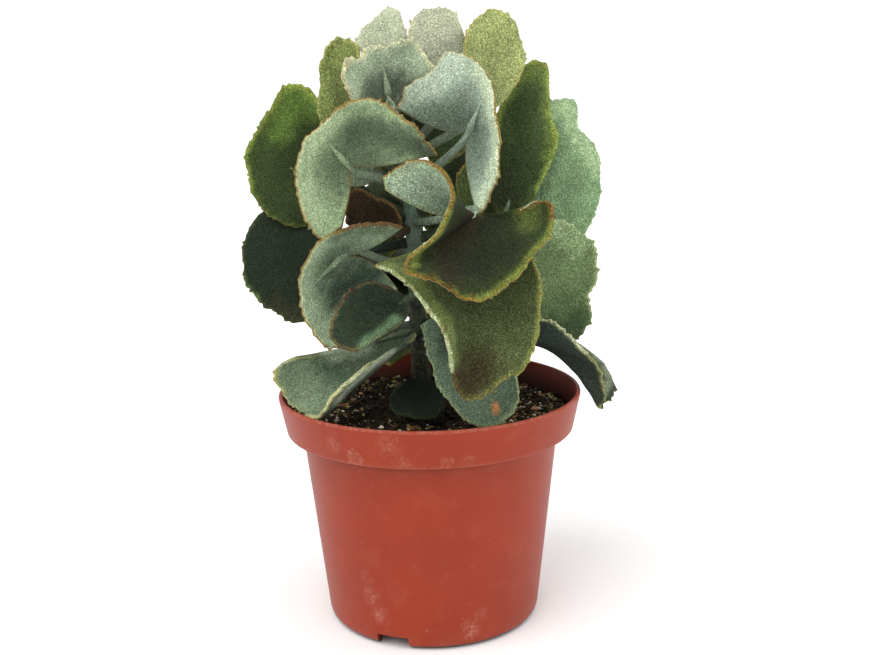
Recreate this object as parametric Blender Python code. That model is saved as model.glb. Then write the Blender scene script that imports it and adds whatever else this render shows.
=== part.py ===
"""A young felt-leaved kalanchoe in a moulded plastic nursery pot.

Frame: +Z up, origin on the pot's axis at the surface the pot stands on, -Y towards the
front of the plant. The numbers below are millimetres; the meshes are built in metres.
"""

from math import cos, pi, radians, sin
from typing import NamedTuple

import bmesh
import bpy
from mathutils import Vector

MM = 0.001

# Pot
RIM_RADIUS = 60.0
RIM_HEIGHT = 92.1
BAND_FOOT_RADIUS = 57.0
BAND_FOOT_HEIGHT = 77.0
BODY_TOP_RADIUS = 50.8
BASE_RADIUS = 42.6
WALL = 1.4
FOOT_WIDTH = 2.4
FLOOR_UNDERSIDE = 5.0
EDGE_ROUND = 2.2
POT_SIDES = 60
NOTCH_WIDTH = 13.0
NOTCH_HEIGHT = 4.5
NOTCH_ANGLES = (-112.0, 8.0, 128.0)
DRAIN_RADIUS = 3.5
DRAIN_CIRCLE = 24.0
DRAIN_COUNT = 4

# Soil
GAP = 0.3
SOIL_EDGE_HEIGHT = 82.0
SOIL_MOUND = 3.0
SOIL_LUMP = 0.7
SOIL_RINGS = 6
SOIL_SIDES = 40

# Stem: centre line and radius from the soil to the growing tip
STEM_LINE = ((-3, 3, 86.5), (-4, 2, 130), (-5, 2, 160), (-7, 0, 180), (-11, -4, 197))
STEM_FOOT_RADIUS = 3.8
STEM_TOP_RADIUS = 2.2
STEM_RINGS = 14
STEM_SIDES = 12

# Leaves
LEAF_THICKNESS = 1.6
STALK_RADIUS = 1.5
STALK_FOOT_RADIUS = 2.0
STALK_CLEARANCE = 1.2
STALK_BEND = 4.0
STALK_RINGS = 7
LEAF_SPOKES = 15
LEAF_STEPS = (0.08, 0.42, 0.75, 1.0)

FELT_SILVER = (0.22, 0.31, 0.22)
FELT_OLIVE = (0.12, 0.15, 0.05)
FELT_GREEN = (0.10, 0.19, 0.11)
FELT_DARK = (0.04, 0.08, 0.05)
FELT_BROWN = (0.10, 0.06, 0.03)
POT_COLOUR = (0.38, 0.075, 0.035)
SOIL_COLOUR = (0.035, 0.024, 0.016)
STEM_COLOUR = (0.20, 0.25, 0.17)


class Leaf(NamedTuple):
    """One leaf: a stalk from the stem and a blade that spreads from the stalk's end."""

    colour: tuple
    node: float      # height on the stem where the stalk leaves it
    base: tuple      # where the stalk meets the blade
    face: tuple      # direction that the upper side faces at the base
    curl: float      # 1 is a straight cone; larger turns later, nearer the rim
    rim: tuple       # edge of the blade, from one basal lobe round the tip to the other


LEAVES = {
    "leaf_left_upper": Leaf(
        FELT_SILVER, 172, (-29, -10, 182), (-0.3, 0.9, 0.3), 2.0,
        ((5, -22, 185), (-3, -26, 196), (-13, -26, 204), (-23, -24, 206), (-35, -24, 199),
         (-45, -24, 188), (-47, -24, 177), (-45, -22, 165), (-39, -20, 155),
         (-31, -17, 159))),
    "leaf_right_upper": Leaf(
        FELT_SILVER, 174, (17, -7, 193), (0.2, 0.9, 0.3), 2.0,
        ((-10, -12, 202), (-4, -14, 211), (5, -14, 217), (9, -14, 222), (18, -16, 220),
         (24, -18, 213), (26, -20, 202), (28, -21, 187), (25, -22, 172), (19, -19, 162))),
    "leaf_front_folded": Leaf(
        FELT_OLIVE, 158, (18, -26, 164), (0.0, -0.4, 0.9), 1.2,
        ((-14, -33, 174), (-14, -35, 179), (-7, -38, 184), (1, -41, 185), (7, -46, 181),
         (9, -51, 173), (4, -58, 162), (-7, -66, 151), (6, -67, 145), (17, -68, 140),
         (27, -65, 144), (37, -57, 153), (45, -47, 163), (43, -42, 170), (30, -34, 163))),
    "leaf_front_drooping": Leaf(
        FELT_OLIVE, 146, (14, -32, 156), (0.0, -0.75, 0.65), 2.0,
        ((-18, -50, 150), (-10, -56, 147), (0, -62, 137), (7, -66, 125), (9, -66, 112),
         (14, -64, 104), (25, -64, 110), (35, -61, 117), (39, -57, 131), (40, -52, 144),
         (37, -44, 153))),
    "leaf_left_lower": Leaf(
        FELT_SILVER, 142, (-32, -15, 148), (-0.3, 0.85, 0.3), 2.0,
        ((-8, -17, 159), (-18, -21, 161), (-29, -24, 160), (-40, -27, 154), (-46, -28, 143),
         (-46, -29, 131), (-41, -30, 120), (-35, -27, 115), (-26, -21, 120), (-17, -14, 129),
         (-11, -9, 134))),
    "leaf_left_outer_high": Leaf(
        FELT_OLIVE, 161, (-37, 8, 179), (-0.3, -0.85, 0.4), 2.0,
        ((-38, 10, 201), (-46, 16, 210), (-53, 20, 212), (-59, 24, 206), (-66, 28, 196),
         (-73, 30, 185), (-72, 28, 174), (-68, 22, 164), (-58, 16, 157), (-47, 12, 156))),
    "leaf_left_outer_low": Leaf(
        FELT_DARK, 150, (-41, 4, 143), (-0.3, -0.85, 0.4), 2.0,
        ((-53, 20, 159), (-63, 28, 162), (-72, 28, 155), (-75, 20, 143), (-72, 10, 132),
         (-64, 2, 126), (-54, -4, 121), (-45, -6, 121))),
    "leaf_right_tall": Leaf(
        FELT_OLIVE, 152, (30, -2, 160), (0.2, -0.9, 0.2), 2.0,
        ((25, 0, 167), (25, 6, 183), (30, 16, 202), (39, 28, 216), (49, 30, 218),
         (50, 22, 200), (53, 16, 189), (47, 8, 175), (42, 3, 166), (36, -1, 160))),
    "leaf_right_outer_high": Leaf(
        FELT_GREEN, 146, (45, 7, 157), (0.3, -0.9, 0.2), 2.0,
        ((42, 12, 169), (43, 22, 186), (50, 34, 202), (62, 36, 202), (62, 32, 192),
         (70, 30, 184), (71, 24, 172), (69, 16, 161), (63, 9, 151))),
    "leaf_right_outer_low": Leaf(
        FELT_GREEN, 132, (39, -2, 134), (0.3, -0.9, 0.2), 2.0,
        ((40, 0, 154), (49, 4, 158), (58, 2, 155), (65, -4, 148), (66, -8, 137),
         (63, -9, 131), (63, -8, 120), (59, -6, 112), (52, -6, 110))),
    "leaf_inner_left": Leaf(
        FELT_GREEN, 126, (-8, -17, 131), (-0.1, -0.7, 0.6), 1.5,
        ((-13, -19, 136), (-22, -27, 140), (-29, -34, 137), (-34, -38, 129), (-34, -40, 120),
         (-28, -40, 117), (-19, -35, 121), (-10, -26, 124))),
    "leaf_over_rim_left": Leaf(
        FELT_SILVER, 112, (-5, -10, 117), (-0.2, -0.7, 0.6), 1.5,
        ((-13, -9, 116), (-29, -14, 111), (-43, -18, 110), (-54, -20, 109), (-59, -21, 104),
         (-56, -22, 97), (-50, -28, 92), (-42, -36, 91), (-36, -38, 99), (-27, -34, 107),
         (-14, -22, 113))),
    "leaf_over_rim_right": Leaf(
        FELT_DARK, 106, (34, 0, 108.5), (0.2, 0.0, -1.0), 2.5,
        ((39, -10, 120), (45, -14, 122), (52, -16, 118), (58, -15, 111), (66, -10, 101),
         (70, -3, 89), (69, 1, 81), (75, 7, 88), (72, 10, 96), (64, 12, 103),
         (54, 12, 108))),
    "leaf_low_front": Leaf(
        FELT_GREEN, 118, (15, -16, 122), (0.1, -0.85, 0.5), 1.5,
        ((5, -14, 123), (-2, -16, 121), (0, -25, 111), (4, -36, 101), (16, -47, 90),
         (23, -48, 90), (30, -45, 93), (33, -39, 99), (32, -30, 110))),
    "leaf_on_soil": Leaf(
        FELT_DARK, 98, (-4, -16, 99), (0.0, -0.4, 0.9), 1.5,
        ((-11, -20, 99), (-15, -26, 95), (-13, -33, 91), (-5, -37, 90), (3, -36, 90),
         (6, -30, 95), (3, -22, 99))),
    "leaf_inner_brown": Leaf(
        FELT_BROWN, 156, (-12, -3, 155), (-0.1, -0.8, 0.5), 1.5,
        ((-9, -4, 160), (-13, -5, 166), (-20, -6, 170), (-26, -7, 172), (-30, -8, 168),
         (-30, -8, 161), (-26, -7, 156), (-18, -5, 152))),
    "leaf_inner_green": Leaf(
        FELT_GREEN, 167, (-18, 1.6, 177), (-0.1, -0.8, 0.5), 1.5,
        ((-19, 1, 181), (-25, 1, 183), (-30, 1, 182), (-32, 1, 178), (-30, 0, 173),
         (-24, 0, 173))),
    "leaf_inner_olive": Leaf(
        FELT_OLIVE, 163, (16, -6, 163), (0.1, -0.8, 0.5), 1.5,
        ((13, -5, 165), (12, -4, 174), (14, -3, 180), (19, -2, 183), (23, -2, 180),
         (23, -3, 171))),
    "leaf_top_left_point": Leaf(
        FELT_SILVER, 183, (-14, 8, 218), (-0.1, -0.9, 0.4), 1.5,
        ((-22, 10, 221), (-26, 15, 228), (-20, 22, 234), (-13, 28, 240), (-8, 24, 235),
         (-6, 17, 228), (-8, 11, 221))),
    "leaf_top_centre": Leaf(
        FELT_SILVER, 187, (9, 5, 213), (0.0, -0.9, 0.4), 1.5,
        ((-1, 6, 217), (-5, 12, 231), (-1, 18, 238), (6, 20, 240), (12, 18, 237),
         (18, 14, 225), (21, 11, 219))),
    "leaf_top_right": Leaf(
        FELT_OLIVE, 183, (21, 0, 201), (0.1, -0.9, 0.4), 1.5,
        ((17, 1, 211), (17, 6, 225), (19, 12, 233), (24, 16, 237), (31, 20, 238),
         (37, 18, 231), (40, 14, 220), (37, 9, 212), (31, 3, 204))),
    "leaf_top_cup": Leaf(
        FELT_SILVER, 190, (-12, 2, 200), (0.0, 0.9, 0.3), 1.5,
        ((-26, -10, 203), (-29, -12, 212), (-28, -9, 220), (-21, -4, 221), (-20, -1, 226),
         (-13, 0, 225), (-4, 3, 228), (0, 2, 222), (6, -1, 217), (5, -1, 209))),
    "leaf_top_left_small": Leaf(
        FELT_OLIVE, 177, (-29, -1, 195), (-0.2, -0.9, 0.3), 1.5,
        ((-39, 2, 196), (-41, 5, 203), (-40, 8, 212), (-39, 12, 221), (-35, 16, 227),
         (-29, 14, 229), (-25, 8, 225), (-23, 2, 213))),
}


class BackLeaf(NamedTuple):
    """A leaf at the back, which follows one growth rule instead of its own outline."""

    colour: tuple
    node: float      # height on the stem
    azimuth: float   # degrees from +X
    reach: float     # stem to the blade's base, level
    lift: float      # rise of the stalk over that reach
    length: float    # base to tip
    half_width: float
    tilt: float      # degrees that the tip points above level
    droop: float     # drop of the rim at the tip


BACK_LEAVES = {
    "leaf_back_top": BackLeaf(FELT_SILVER, 186, 75, 15, 8, 32, 16, 60, 6),
    "leaf_back_left_high": BackLeaf(FELT_OLIVE, 176, 125, 30, 2, 36, 20, 45, 8),
    "leaf_back_right_high": BackLeaf(FELT_OLIVE, 166, 48, 28, 4, 36, 18, 50, 8),
    "leaf_back_middle": BackLeaf(FELT_OLIVE, 154, 88, 30, 2, 34, 19, 40, 8),
    "leaf_back_left_low": BackLeaf(FELT_SILVER, 137, 126, 32, 1, 38, 19, 25, 8),
    "leaf_back_right_low": BackLeaf(FELT_GREEN, 128, 38, 32, 4, 36, 19, 30, 8),
    "leaf_back_centre_low": BackLeaf(FELT_DARK, 118, 108, 26, 6, 38, 20, 30, 8),
    "leaf_back_over_rim": BackLeaf(FELT_GREEN, 103, 80, 20, 3, 43, 19, 10, 8),
}


def clear_scene():
    """Remove every object of the start-up file."""
    for old in list(bpy.data.objects):
        bpy.data.objects.remove(old, do_unlink=True)


def paint(name, colour, roughness):
    """Make a plain Principled material."""
    material = bpy.data.materials.new(name)
    material.use_nodes = True
    shader = material.node_tree.nodes["Principled BSDF"]
    shader.inputs["Base Color"].default_value = (*colour, 1.0)
    shader.inputs["Roughness"].default_value = roughness
    return material


def add_object(name, shape, colour, roughness):
    """Turn a bmesh in millimetres into a named object in metres."""
    bmesh.ops.scale(shape, vec=(MM, MM, MM), verts=shape.verts)
    bmesh.ops.recalc_face_normals(shape, faces=shape.faces)
    mesh = bpy.data.meshes.new(name)
    shape.to_mesh(mesh)
    shape.free()
    mesh.shade_smooth()
    mesh.set_sharp_from_angle(angle=radians(35))
    thing = bpy.data.objects.new(name, mesh)
    bpy.context.collection.objects.link(thing)
    mesh.materials.append(paint(name, colour, roughness))
    return thing


def cut_away(thing, tool):
    """Cut one piece with a tool object, which is hidden and left out."""
    tool.hide_render = True
    tool.display_type = "WIRE"
    cut = thing.modifiers.new(tool.name, "BOOLEAN")
    cut.operation = "DIFFERENCE"
    cut.object = tool


def bridge(shape, lower, upper):
    """Fill the band between two rings of the same number of points."""
    count = len(lower)
    for i in range(count):
        j = (i + 1) % count
        shape.faces.new((lower[i], lower[j], upper[j], upper[i]))


def turned(profile, sides):
    """Spin a closed (radius, height) profile about Z; radius 0 makes a pole."""
    shape = bmesh.new()
    rings = []
    for radius, height in profile:
        if radius == 0:
            rings.append([shape.verts.new((0, 0, height))])
            continue
        turn = [2 * pi * i / sides for i in range(sides)]
        rings.append([shape.verts.new((radius * cos(a), radius * sin(a), height)) for a in turn])
    for lower, upper in zip(rings, rings[1:] + rings[:1]):
        if len(lower) == len(upper) == 1:
            continue
        if len(lower) == 1 or len(upper) == 1:
            pole, ring = (lower[0], upper) if len(lower) == 1 else (upper[0], lower)
            for i in range(sides):
                shape.faces.new((pole, ring[i], ring[(i + 1) % sides]))
        else:
            bridge(shape, lower, upper)
    return shape


def smooth_line(points, count, power=0.5):
    """Read count + 1 points at even steps along a curve through the given points."""
    line = [Vector(p) for p in points]
    line = [2 * line[0] - line[1]] + line + [2 * line[-1] - line[-2]]
    times = [0.0]
    for a, b in zip(line, line[1:]):
        times.append(times[-1] + (b - a).length ** power)
    fine = []
    for i in range(1, len(line) - 2):
        p0, p1, p2, p3 = line[i - 1:i + 3]
        t0, t1, t2, t3 = times[i - 1:i + 3]
        for step in range(12):
            t = t1 + (t2 - t1) * step / 12
            a1 = p0 * ((t1 - t) / (t1 - t0)) + p1 * ((t - t0) / (t1 - t0))
            a2 = p1 * ((t2 - t) / (t2 - t1)) + p2 * ((t - t1) / (t2 - t1))
            a3 = p2 * ((t3 - t) / (t3 - t2)) + p3 * ((t - t2) / (t3 - t2))
            b1 = a1 * ((t2 - t) / (t2 - t0)) + a2 * ((t - t0) / (t2 - t0))
            b2 = a2 * ((t3 - t) / (t3 - t1)) + a3 * ((t - t1) / (t3 - t1))
            fine.append(b1 * ((t2 - t) / (t2 - t1)) + b2 * ((t - t1) / (t2 - t1)))
    fine.append(line[-2])
    lengths = [0.0]
    for a, b in zip(fine, fine[1:]):
        lengths.append(lengths[-1] + (b - a).length)
    result = []
    k = 0
    for i in range(count + 1):
        want = lengths[-1] * i / count
        while k < len(fine) - 2 and lengths[k + 1] < want:
            k += 1
        span = lengths[k + 1] - lengths[k]
        result.append(fine[k].lerp(fine[k + 1], (want - lengths[k]) / span))
    return result


def tube(line, radii, sides):
    """Make a closed tube along a line of points, with flat ends."""
    shape = bmesh.new()
    rings = []
    side = Vector((1, 0, 0))
    for i, point in enumerate(line):
        ahead = line[min(i + 1, len(line) - 1)] - line[max(i - 1, 0)]
        ahead.normalize()
        side = (side - ahead * side.dot(ahead)).normalized()
        other = ahead.cross(side)
        turn = [2 * pi * k / sides for k in range(sides)]
        rings.append([
            shape.verts.new(point + (side * cos(a) + other * sin(a)) * radii[i]) for a in turn
        ])
    for lower, upper in zip(rings, rings[1:]):
        bridge(shape, lower, upper)
    shape.faces.new(list(reversed(rings[0])))
    shape.faces.new(rings[-1])
    return shape


def build_pot():
    """The moulded pot: rim band, tapered wall, raised floor, notched foot and drain holes."""
    inner_base = BASE_RADIUS - WALL
    profile = (
        (RIM_RADIUS, RIM_HEIGHT - 0.8),
        (BAND_FOOT_RADIUS + 0.3, BAND_FOOT_HEIGHT + 1.2),
        (BAND_FOOT_RADIUS - 0.6, BAND_FOOT_HEIGHT),
        (BODY_TOP_RADIUS + 0.4, BAND_FOOT_HEIGHT),
        (BODY_TOP_RADIUS, BAND_FOOT_HEIGHT - 1.0),
        (BASE_RADIUS + 0.5, EDGE_ROUND * 2.2),
        (BASE_RADIUS, EDGE_ROUND),
        (BASE_RADIUS - 0.7, EDGE_ROUND * 0.3),
        (BASE_RADIUS - 1.8, 0.0),
        (BASE_RADIUS - 1.8 - FOOT_WIDTH, 0.0),
        (BASE_RADIUS - 2.2 - FOOT_WIDTH, FLOOR_UNDERSIDE),
        (0, FLOOR_UNDERSIDE),
        (0, FLOOR_UNDERSIDE + WALL),
        (inner_base - 1.5, FLOOR_UNDERSIDE + WALL),
        (inner_base, FLOOR_UNDERSIDE + WALL + 1.5),
        (BODY_TOP_RADIUS - WALL, BAND_FOOT_HEIGHT),
        (BODY_TOP_RADIUS - WALL + 0.6, BAND_FOOT_HEIGHT + WALL),
        (BAND_FOOT_RADIUS - WALL, BAND_FOOT_HEIGHT + WALL + 1.0),
        (RIM_RADIUS - WALL - 0.2, RIM_HEIGHT - 0.8),
        (RIM_RADIUS - WALL + 0.2, RIM_HEIGHT),
        (RIM_RADIUS - 0.5, RIM_HEIGHT),
    )
    pot = add_object("pot", turned(profile, POT_SIDES), POT_COLOUR, 0.5)
    for i, angle in enumerate(NOTCH_ANGLES):
        notch = box_cutter(f"notch_cutter_{i}", NOTCH_WIDTH, NOTCH_HEIGHT, radians(angle))
        cut_away(pot, notch)
    for i in range(DRAIN_COUNT):
        angle = 2 * pi * (i + 0.5) / DRAIN_COUNT
        cut_away(pot, drain_cutter(f"drain_cutter_{i}", angle))
    return pot


def box_cutter(name, width, height, angle):
    """A block that cuts one notch in the foot, up from below the pot."""
    shape = bmesh.new()
    bmesh.ops.create_cube(shape, size=1.0)
    depth = FOOT_WIDTH + 6
    bmesh.ops.scale(shape, vec=(depth, width, 2 * height), verts=shape.verts)
    cutter = add_object(name, shape, POT_COLOUR, 0.5)
    middle = BASE_RADIUS - depth / 2 + 2
    cutter.location = Vector((middle * cos(angle), middle * sin(angle), 0)) * MM
    cutter.rotation_euler = (0, 0, angle)
    return cutter


def drain_cutter(name, angle):
    """A round post that cuts one drain hole through the floor."""
    shape = bmesh.new()
    bmesh.ops.create_cone(
        shape, cap_ends=True, segments=16, radius1=DRAIN_RADIUS, radius2=DRAIN_RADIUS,
        depth=8 * WALL)
    cutter = add_object(name, shape, POT_COLOUR, 0.5)
    place = Vector((DRAIN_CIRCLE * cos(angle), DRAIN_CIRCLE * sin(angle), FLOOR_UNDERSIDE))
    cutter.location = place * MM
    return cutter


def soil_height(x, y):
    """Height of the soil's top: a low mound with soft lumps."""
    out = (x * x + y * y) ** 0.5 / BAND_FOOT_RADIUS
    lumps = sin(0.31 * x + 1.0) * cos(0.27 * y - 0.4) + 0.6 * sin(0.53 * x - 0.41 * y)
    return SOIL_EDGE_HEIGHT + SOIL_MOUND * (1 - out * out) + SOIL_LUMP * lumps * (1 - out)


def build_soil():
    """The root ball: it fills the pot with a thin gap, and its top is a lumpy mound."""
    floor = FLOOR_UNDERSIDE + WALL + GAP
    inner_base = BASE_RADIUS - WALL - GAP
    inner_top = BODY_TOP_RADIUS - WALL - GAP
    band = BAND_FOOT_RADIUS - WALL - GAP
    rise = (SOIL_EDGE_HEIGHT - BAND_FOOT_HEIGHT) / (RIM_HEIGHT - BAND_FOOT_HEIGHT)
    edge = band + (RIM_RADIUS - BAND_FOOT_RADIUS) * rise - 1.0
    profile = [
        (0, floor),
        (inner_base - 2.2, floor),
        (inner_base - 0.6, floor + 2.0),
        (inner_top - 0.2, BAND_FOOT_HEIGHT + 0.4),
        (inner_top + 0.2, BAND_FOOT_HEIGHT + WALL + GAP + 0.8),
        (band - 1.0, BAND_FOOT_HEIGHT + WALL + GAP + 2.2),
        (edge, SOIL_EDGE_HEIGHT),
    ]
    for ring in range(SOIL_RINGS - 1, 0, -1):
        profile.append((edge * ring / SOIL_RINGS, SOIL_EDGE_HEIGHT + 0.5))
    profile.append((0, SOIL_EDGE_HEIGHT + 0.5))
    shape = turned(profile, SOIL_SIDES)
    for vert in shape.verts:
        if vert.co.z > SOIL_EDGE_HEIGHT + 0.1:
            vert.co.z = soil_height(vert.co.x, vert.co.y)
    return add_object("soil", shape, SOIL_COLOUR, 0.95)


def stem_point(height):
    """Centre of the stem at a height."""
    line = smooth_line(STEM_LINE, 60)
    return min(line, key=lambda p: abs(p.z - height))


def stem_radius(height):
    """Radius of the stem at a height."""
    foot, top = STEM_LINE[0][2], STEM_LINE[-1][2]
    return STEM_FOOT_RADIUS + (STEM_TOP_RADIUS - STEM_FOOT_RADIUS) * (height - foot) / (top - foot)


def build_stem():
    """The upright stem, which thins towards the growing tip."""
    line = smooth_line(STEM_LINE, STEM_RINGS)
    radii = [stem_radius(point.z) for point in line]
    return add_object("stem", tube(line, radii, STEM_SIDES), STEM_COLOUR, 0.8)


def build_shoot_tip():
    """The growing tip above the stem: a small bud of folded leaflets."""
    top = Vector(STEM_LINE[-1]) + Vector((-0.3, -0.4, 0.9))
    line = smooth_line((top, top + Vector((-1.3, -1.6, 5)), top + Vector((-2.6, -2.8, 10))), 6)
    radii = (1.8, 2.4, 2.8, 2.7, 2.2, 1.4, 0.6)
    return add_object("shoot_tip", tube(line, radii, 10), FELT_SILVER, 0.85)


def blade_point(leaf, rim_point, reach):
    """Point on the blade's middle surface, from 0 at the base to 1 at the rim."""
    face = Vector(leaf.face).normalized()
    spoke = rim_point - Vector(leaf.base)
    rise = face * spoke.dot(face)
    return Vector(leaf.base) + (spoke - rise) * reach + rise * reach ** leaf.curl


def blade_grid(leaf):
    """Middle surface of the blade as spokes of points, from beside the base to the rim."""
    rim = smooth_line(leaf.rim, LEAF_SPOKES)
    return [[blade_point(leaf, point, step) for step in LEAF_STEPS] for point in rim]


def grid_normal(base, grid, i, j):
    """Unit normal of the grid at spoke i, ring j, towards the leaf's upper side."""
    along = grid[i][j] - (grid[i][j - 1] if j else base)
    across = grid[min(i + 1, len(grid) - 1)][j] - grid[max(i - 1, 0)][j]
    return across.cross(along).normalized()


def add_blade(shape, leaf):
    """Add the blade as a sheet of even thickness; return the ring left open at its base."""
    base = Vector(leaf.base)
    grid = blade_grid(leaf)
    half = LEAF_THICKNESS / 2
    rows = range(len(LEAF_STEPS))
    normals = [[grid_normal(base, grid, i, j) for j in rows] for i in range(len(grid))]
    mean = sum((row[0] for row in normals), Vector()).normalized()
    sheets = []
    for sign in (1, -1):
        pole = shape.verts.new(base + mean * half * sign)
        spokes = [
            [shape.verts.new(spoke[j] + normals[i][j] * half * sign) for j in rows]
            for i, spoke in enumerate(grid)
        ]
        for left, right in zip(spokes, spokes[1:]):
            shape.faces.new((pole, left[0], right[0]))
            for j in rows[:-1]:
                shape.faces.new((left[j], left[j + 1], right[j + 1], right[j]))
        edge = spokes[0] + [spoke[-1] for spoke in spokes[1:-1]] + list(reversed(spokes[-1]))
        sheets.append((pole, edge))
    (top_pole, top), (low_pole, low) = sheets
    for i in range(len(top) - 1):
        shape.faces.new((top[i], top[i + 1], low[i + 1], low[i]))
    return [top[0], top_pole, top[-1], low[-1], low_pole, low[0]], mean


def stalk_line(leaf):
    """Centre line of the stalk, from the blade's base to just clear of the stem."""
    base = Vector(leaf.base)
    start = stem_point(leaf.node)
    level = Vector((base.x - start.x, base.y - start.y, 0)).normalized()
    foot = start + level * (stem_radius(leaf.node) + STALK_CLEARANCE)
    reach = (base - foot).length
    middle = foot + level * reach * 0.35 + Vector((0, 0, (base.z - foot.z) * 0.35))
    tip = smooth_line(leaf.rim, 2)[1]
    onward = (blade_point(leaf, tip, LEAF_STEPS[0]) - base).normalized()
    bend = base - onward * min(STALK_BEND, reach * 0.3)
    return smooth_line((base, bend, middle, foot), STALK_RINGS)


def add_stalk(shape, leaf, ring, face):
    """Run the stalk from the open ring at the blade's base down to the stem."""
    line = stalk_line(leaf)
    side = ring[0].co + ring[5].co - ring[2].co - ring[3].co
    for i in range(1, STALK_RINGS + 1):
        ahead = line[min(i + 1, STALK_RINGS)] - line[i - 1]
        ahead.normalize()
        side = (side - ahead * side.dot(ahead)).normalized()
        other = side.cross(ahead)
        if other.dot(face) < 0:
            other = -other
        face = other
        share = i / STALK_RINGS
        radius = STALK_RADIUS + (STALK_FOOT_RADIUS - STALK_RADIUS) * share
        turn = [radians(30 + 60 * k) for k in range(6)]
        lower = [
            shape.verts.new(line[i] + (side * cos(a) + other * sin(a)) * radius) for a in turn
        ]
        bridge(shape, ring, lower)
        ring = lower
    shape.faces.new(ring)


def grow_back_leaf(plan):
    """Work out a back leaf's base and rim from its growth rule."""
    start = stem_point(plan.node)
    angle = radians(plan.azimuth)
    out = Vector((cos(angle), sin(angle), 0))
    side = Vector((-sin(angle), cos(angle), 0))
    up = Vector((0, 0, 1))
    tilt = radians(plan.tilt)
    ahead = out * cos(tilt) + up * sin(tilt)
    face = up * cos(tilt) - out * sin(tilt)
    base = start + out * plan.reach + up * plan.lift
    rim = []
    steps = 8
    for i in range(steps + 1):
        turn = radians(-130 + 260 * i / steps)
        forward = ((1 + cos(turn)) / 2) ** 2
        size = plan.half_width + (plan.length - plan.half_width) * forward
        drop = plan.droop * (size / plan.length) ** 2
        rim.append(tuple(base + (ahead * cos(turn) + side * sin(turn)) * size - face * drop))
    return Leaf(plan.colour, plan.node, tuple(base), tuple(face), 2.0, tuple(rim))


def build_leaf(name, leaf):
    """One leaf: the blade and its stalk as one body."""
    shape = bmesh.new()
    ring, face = add_blade(shape, leaf)
    add_stalk(shape, leaf, ring, face)
    return add_object(name, shape, leaf.colour, 0.85)


def main():
    """Build every piece of the potted plant."""
    clear_scene()
    build_pot()
    build_soil()
    build_stem()
    build_shoot_tip()
    for name, leaf in LEAVES.items():
        build_leaf(name, leaf)
    for name, plan in BACK_LEAVES.items():
        build_leaf(name, grow_back_leaf(plan))


main()
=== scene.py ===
"""A potted felt-leaved kalanchoe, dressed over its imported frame.

The plant is a young felt-leaved succulent in a moulded nursery pot. Each leaf is a blade
of felt with a toothed edge, grown as one piece with its stalk. Sizes are millimetres in
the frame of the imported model: +Z up, the pot's axis at the origin, -Y the plant's front.
Meshes are written in metres.
"""

import logging
from dataclasses import dataclass, field
from enum import Enum
from math import cos, pi, radians, sin

import bpy
import numpy as np
from mathutils import Matrix, Vector

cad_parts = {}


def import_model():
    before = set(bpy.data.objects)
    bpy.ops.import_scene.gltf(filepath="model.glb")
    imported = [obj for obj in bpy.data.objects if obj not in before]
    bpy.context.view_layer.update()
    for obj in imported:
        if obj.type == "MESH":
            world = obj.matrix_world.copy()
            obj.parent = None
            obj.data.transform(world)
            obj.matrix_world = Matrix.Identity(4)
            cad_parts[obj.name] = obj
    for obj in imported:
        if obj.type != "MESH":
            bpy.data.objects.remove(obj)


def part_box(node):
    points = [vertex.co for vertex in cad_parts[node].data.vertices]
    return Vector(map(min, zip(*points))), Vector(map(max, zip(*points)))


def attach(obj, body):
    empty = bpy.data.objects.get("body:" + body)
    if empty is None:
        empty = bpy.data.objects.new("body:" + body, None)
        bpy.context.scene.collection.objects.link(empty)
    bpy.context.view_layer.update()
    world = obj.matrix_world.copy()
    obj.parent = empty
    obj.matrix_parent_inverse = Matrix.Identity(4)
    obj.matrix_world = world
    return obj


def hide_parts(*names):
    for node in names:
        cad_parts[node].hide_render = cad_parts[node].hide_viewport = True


MM = 0.001
BODY = "root"
Point = tuple[float, float, float]
Feed = object

log = logging.getLogger("kalanchoe")


class Slot(Enum):
    """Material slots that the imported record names."""

    POT = "pot_plastic"
    SOIL = "potting_soil"
    STEM = "stem_bark"
    SILVER = "felt_silver"
    OLIVE = "felt_olive"
    GREEN = "felt_green"
    DARK = "felt_dark"
    BROWN = "felt_brown"


class Side(Enum):
    """Faces of a leaf blade."""

    UPPER = "upper"
    LOWER = "lower"
    BOTH = "both"


# ---------------------------------------------------------------------------
# Colour and node helpers
# ---------------------------------------------------------------------------


def linear(code: str) -> tuple[float, float, float, float]:
    """Turn an sRGB hex colour into linear light.

    Args:
        code: Six hex digits after a hash sign.

    Returns:
        Red, green, blue and an alpha of 1.
    """
    parts = [int(code[i:i + 2], 16) / 255 for i in (1, 3, 5)]
    light = [p / 12.92 if p <= 0.04045 else ((p + 0.055) / 1.055) ** 2.4 for p in parts]
    return (*light, 1.0)


def per_metre(size: float) -> float:
    """Texture scale that repeats once every so many millimetres."""
    return 1000.0 / size


def tone_of(code: str) -> np.ndarray:
    """Linear red, green and blue of an sRGB hex colour."""
    return np.array(linear(code)[:3])


def add_node(tree: bpy.types.NodeTree, kind: str, feeds: dict | tuple,
             output: int | str = 0, **settings: object) -> bpy.types.NodeSocket:
    """Add one node with its settings and links.

    Args:
        tree: Node tree that gets the node.
        kind: Node type after "ShaderNode".
        feeds: Values or output sockets, by input name or place, or in the inputs' order.
        output: Name or place of the output that is wanted.
        **settings: Node properties by name.

    Returns:
        The wanted output socket.
    """
    node = tree.nodes.new("ShaderNode" + kind)
    for name, value in settings.items():
        setattr(node, name, value)
    for key, feed in feeds.items() if isinstance(feeds, dict) else enumerate(feeds):
        feed_socket(tree, node.inputs[key], feed)
    return node.outputs[output]


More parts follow.
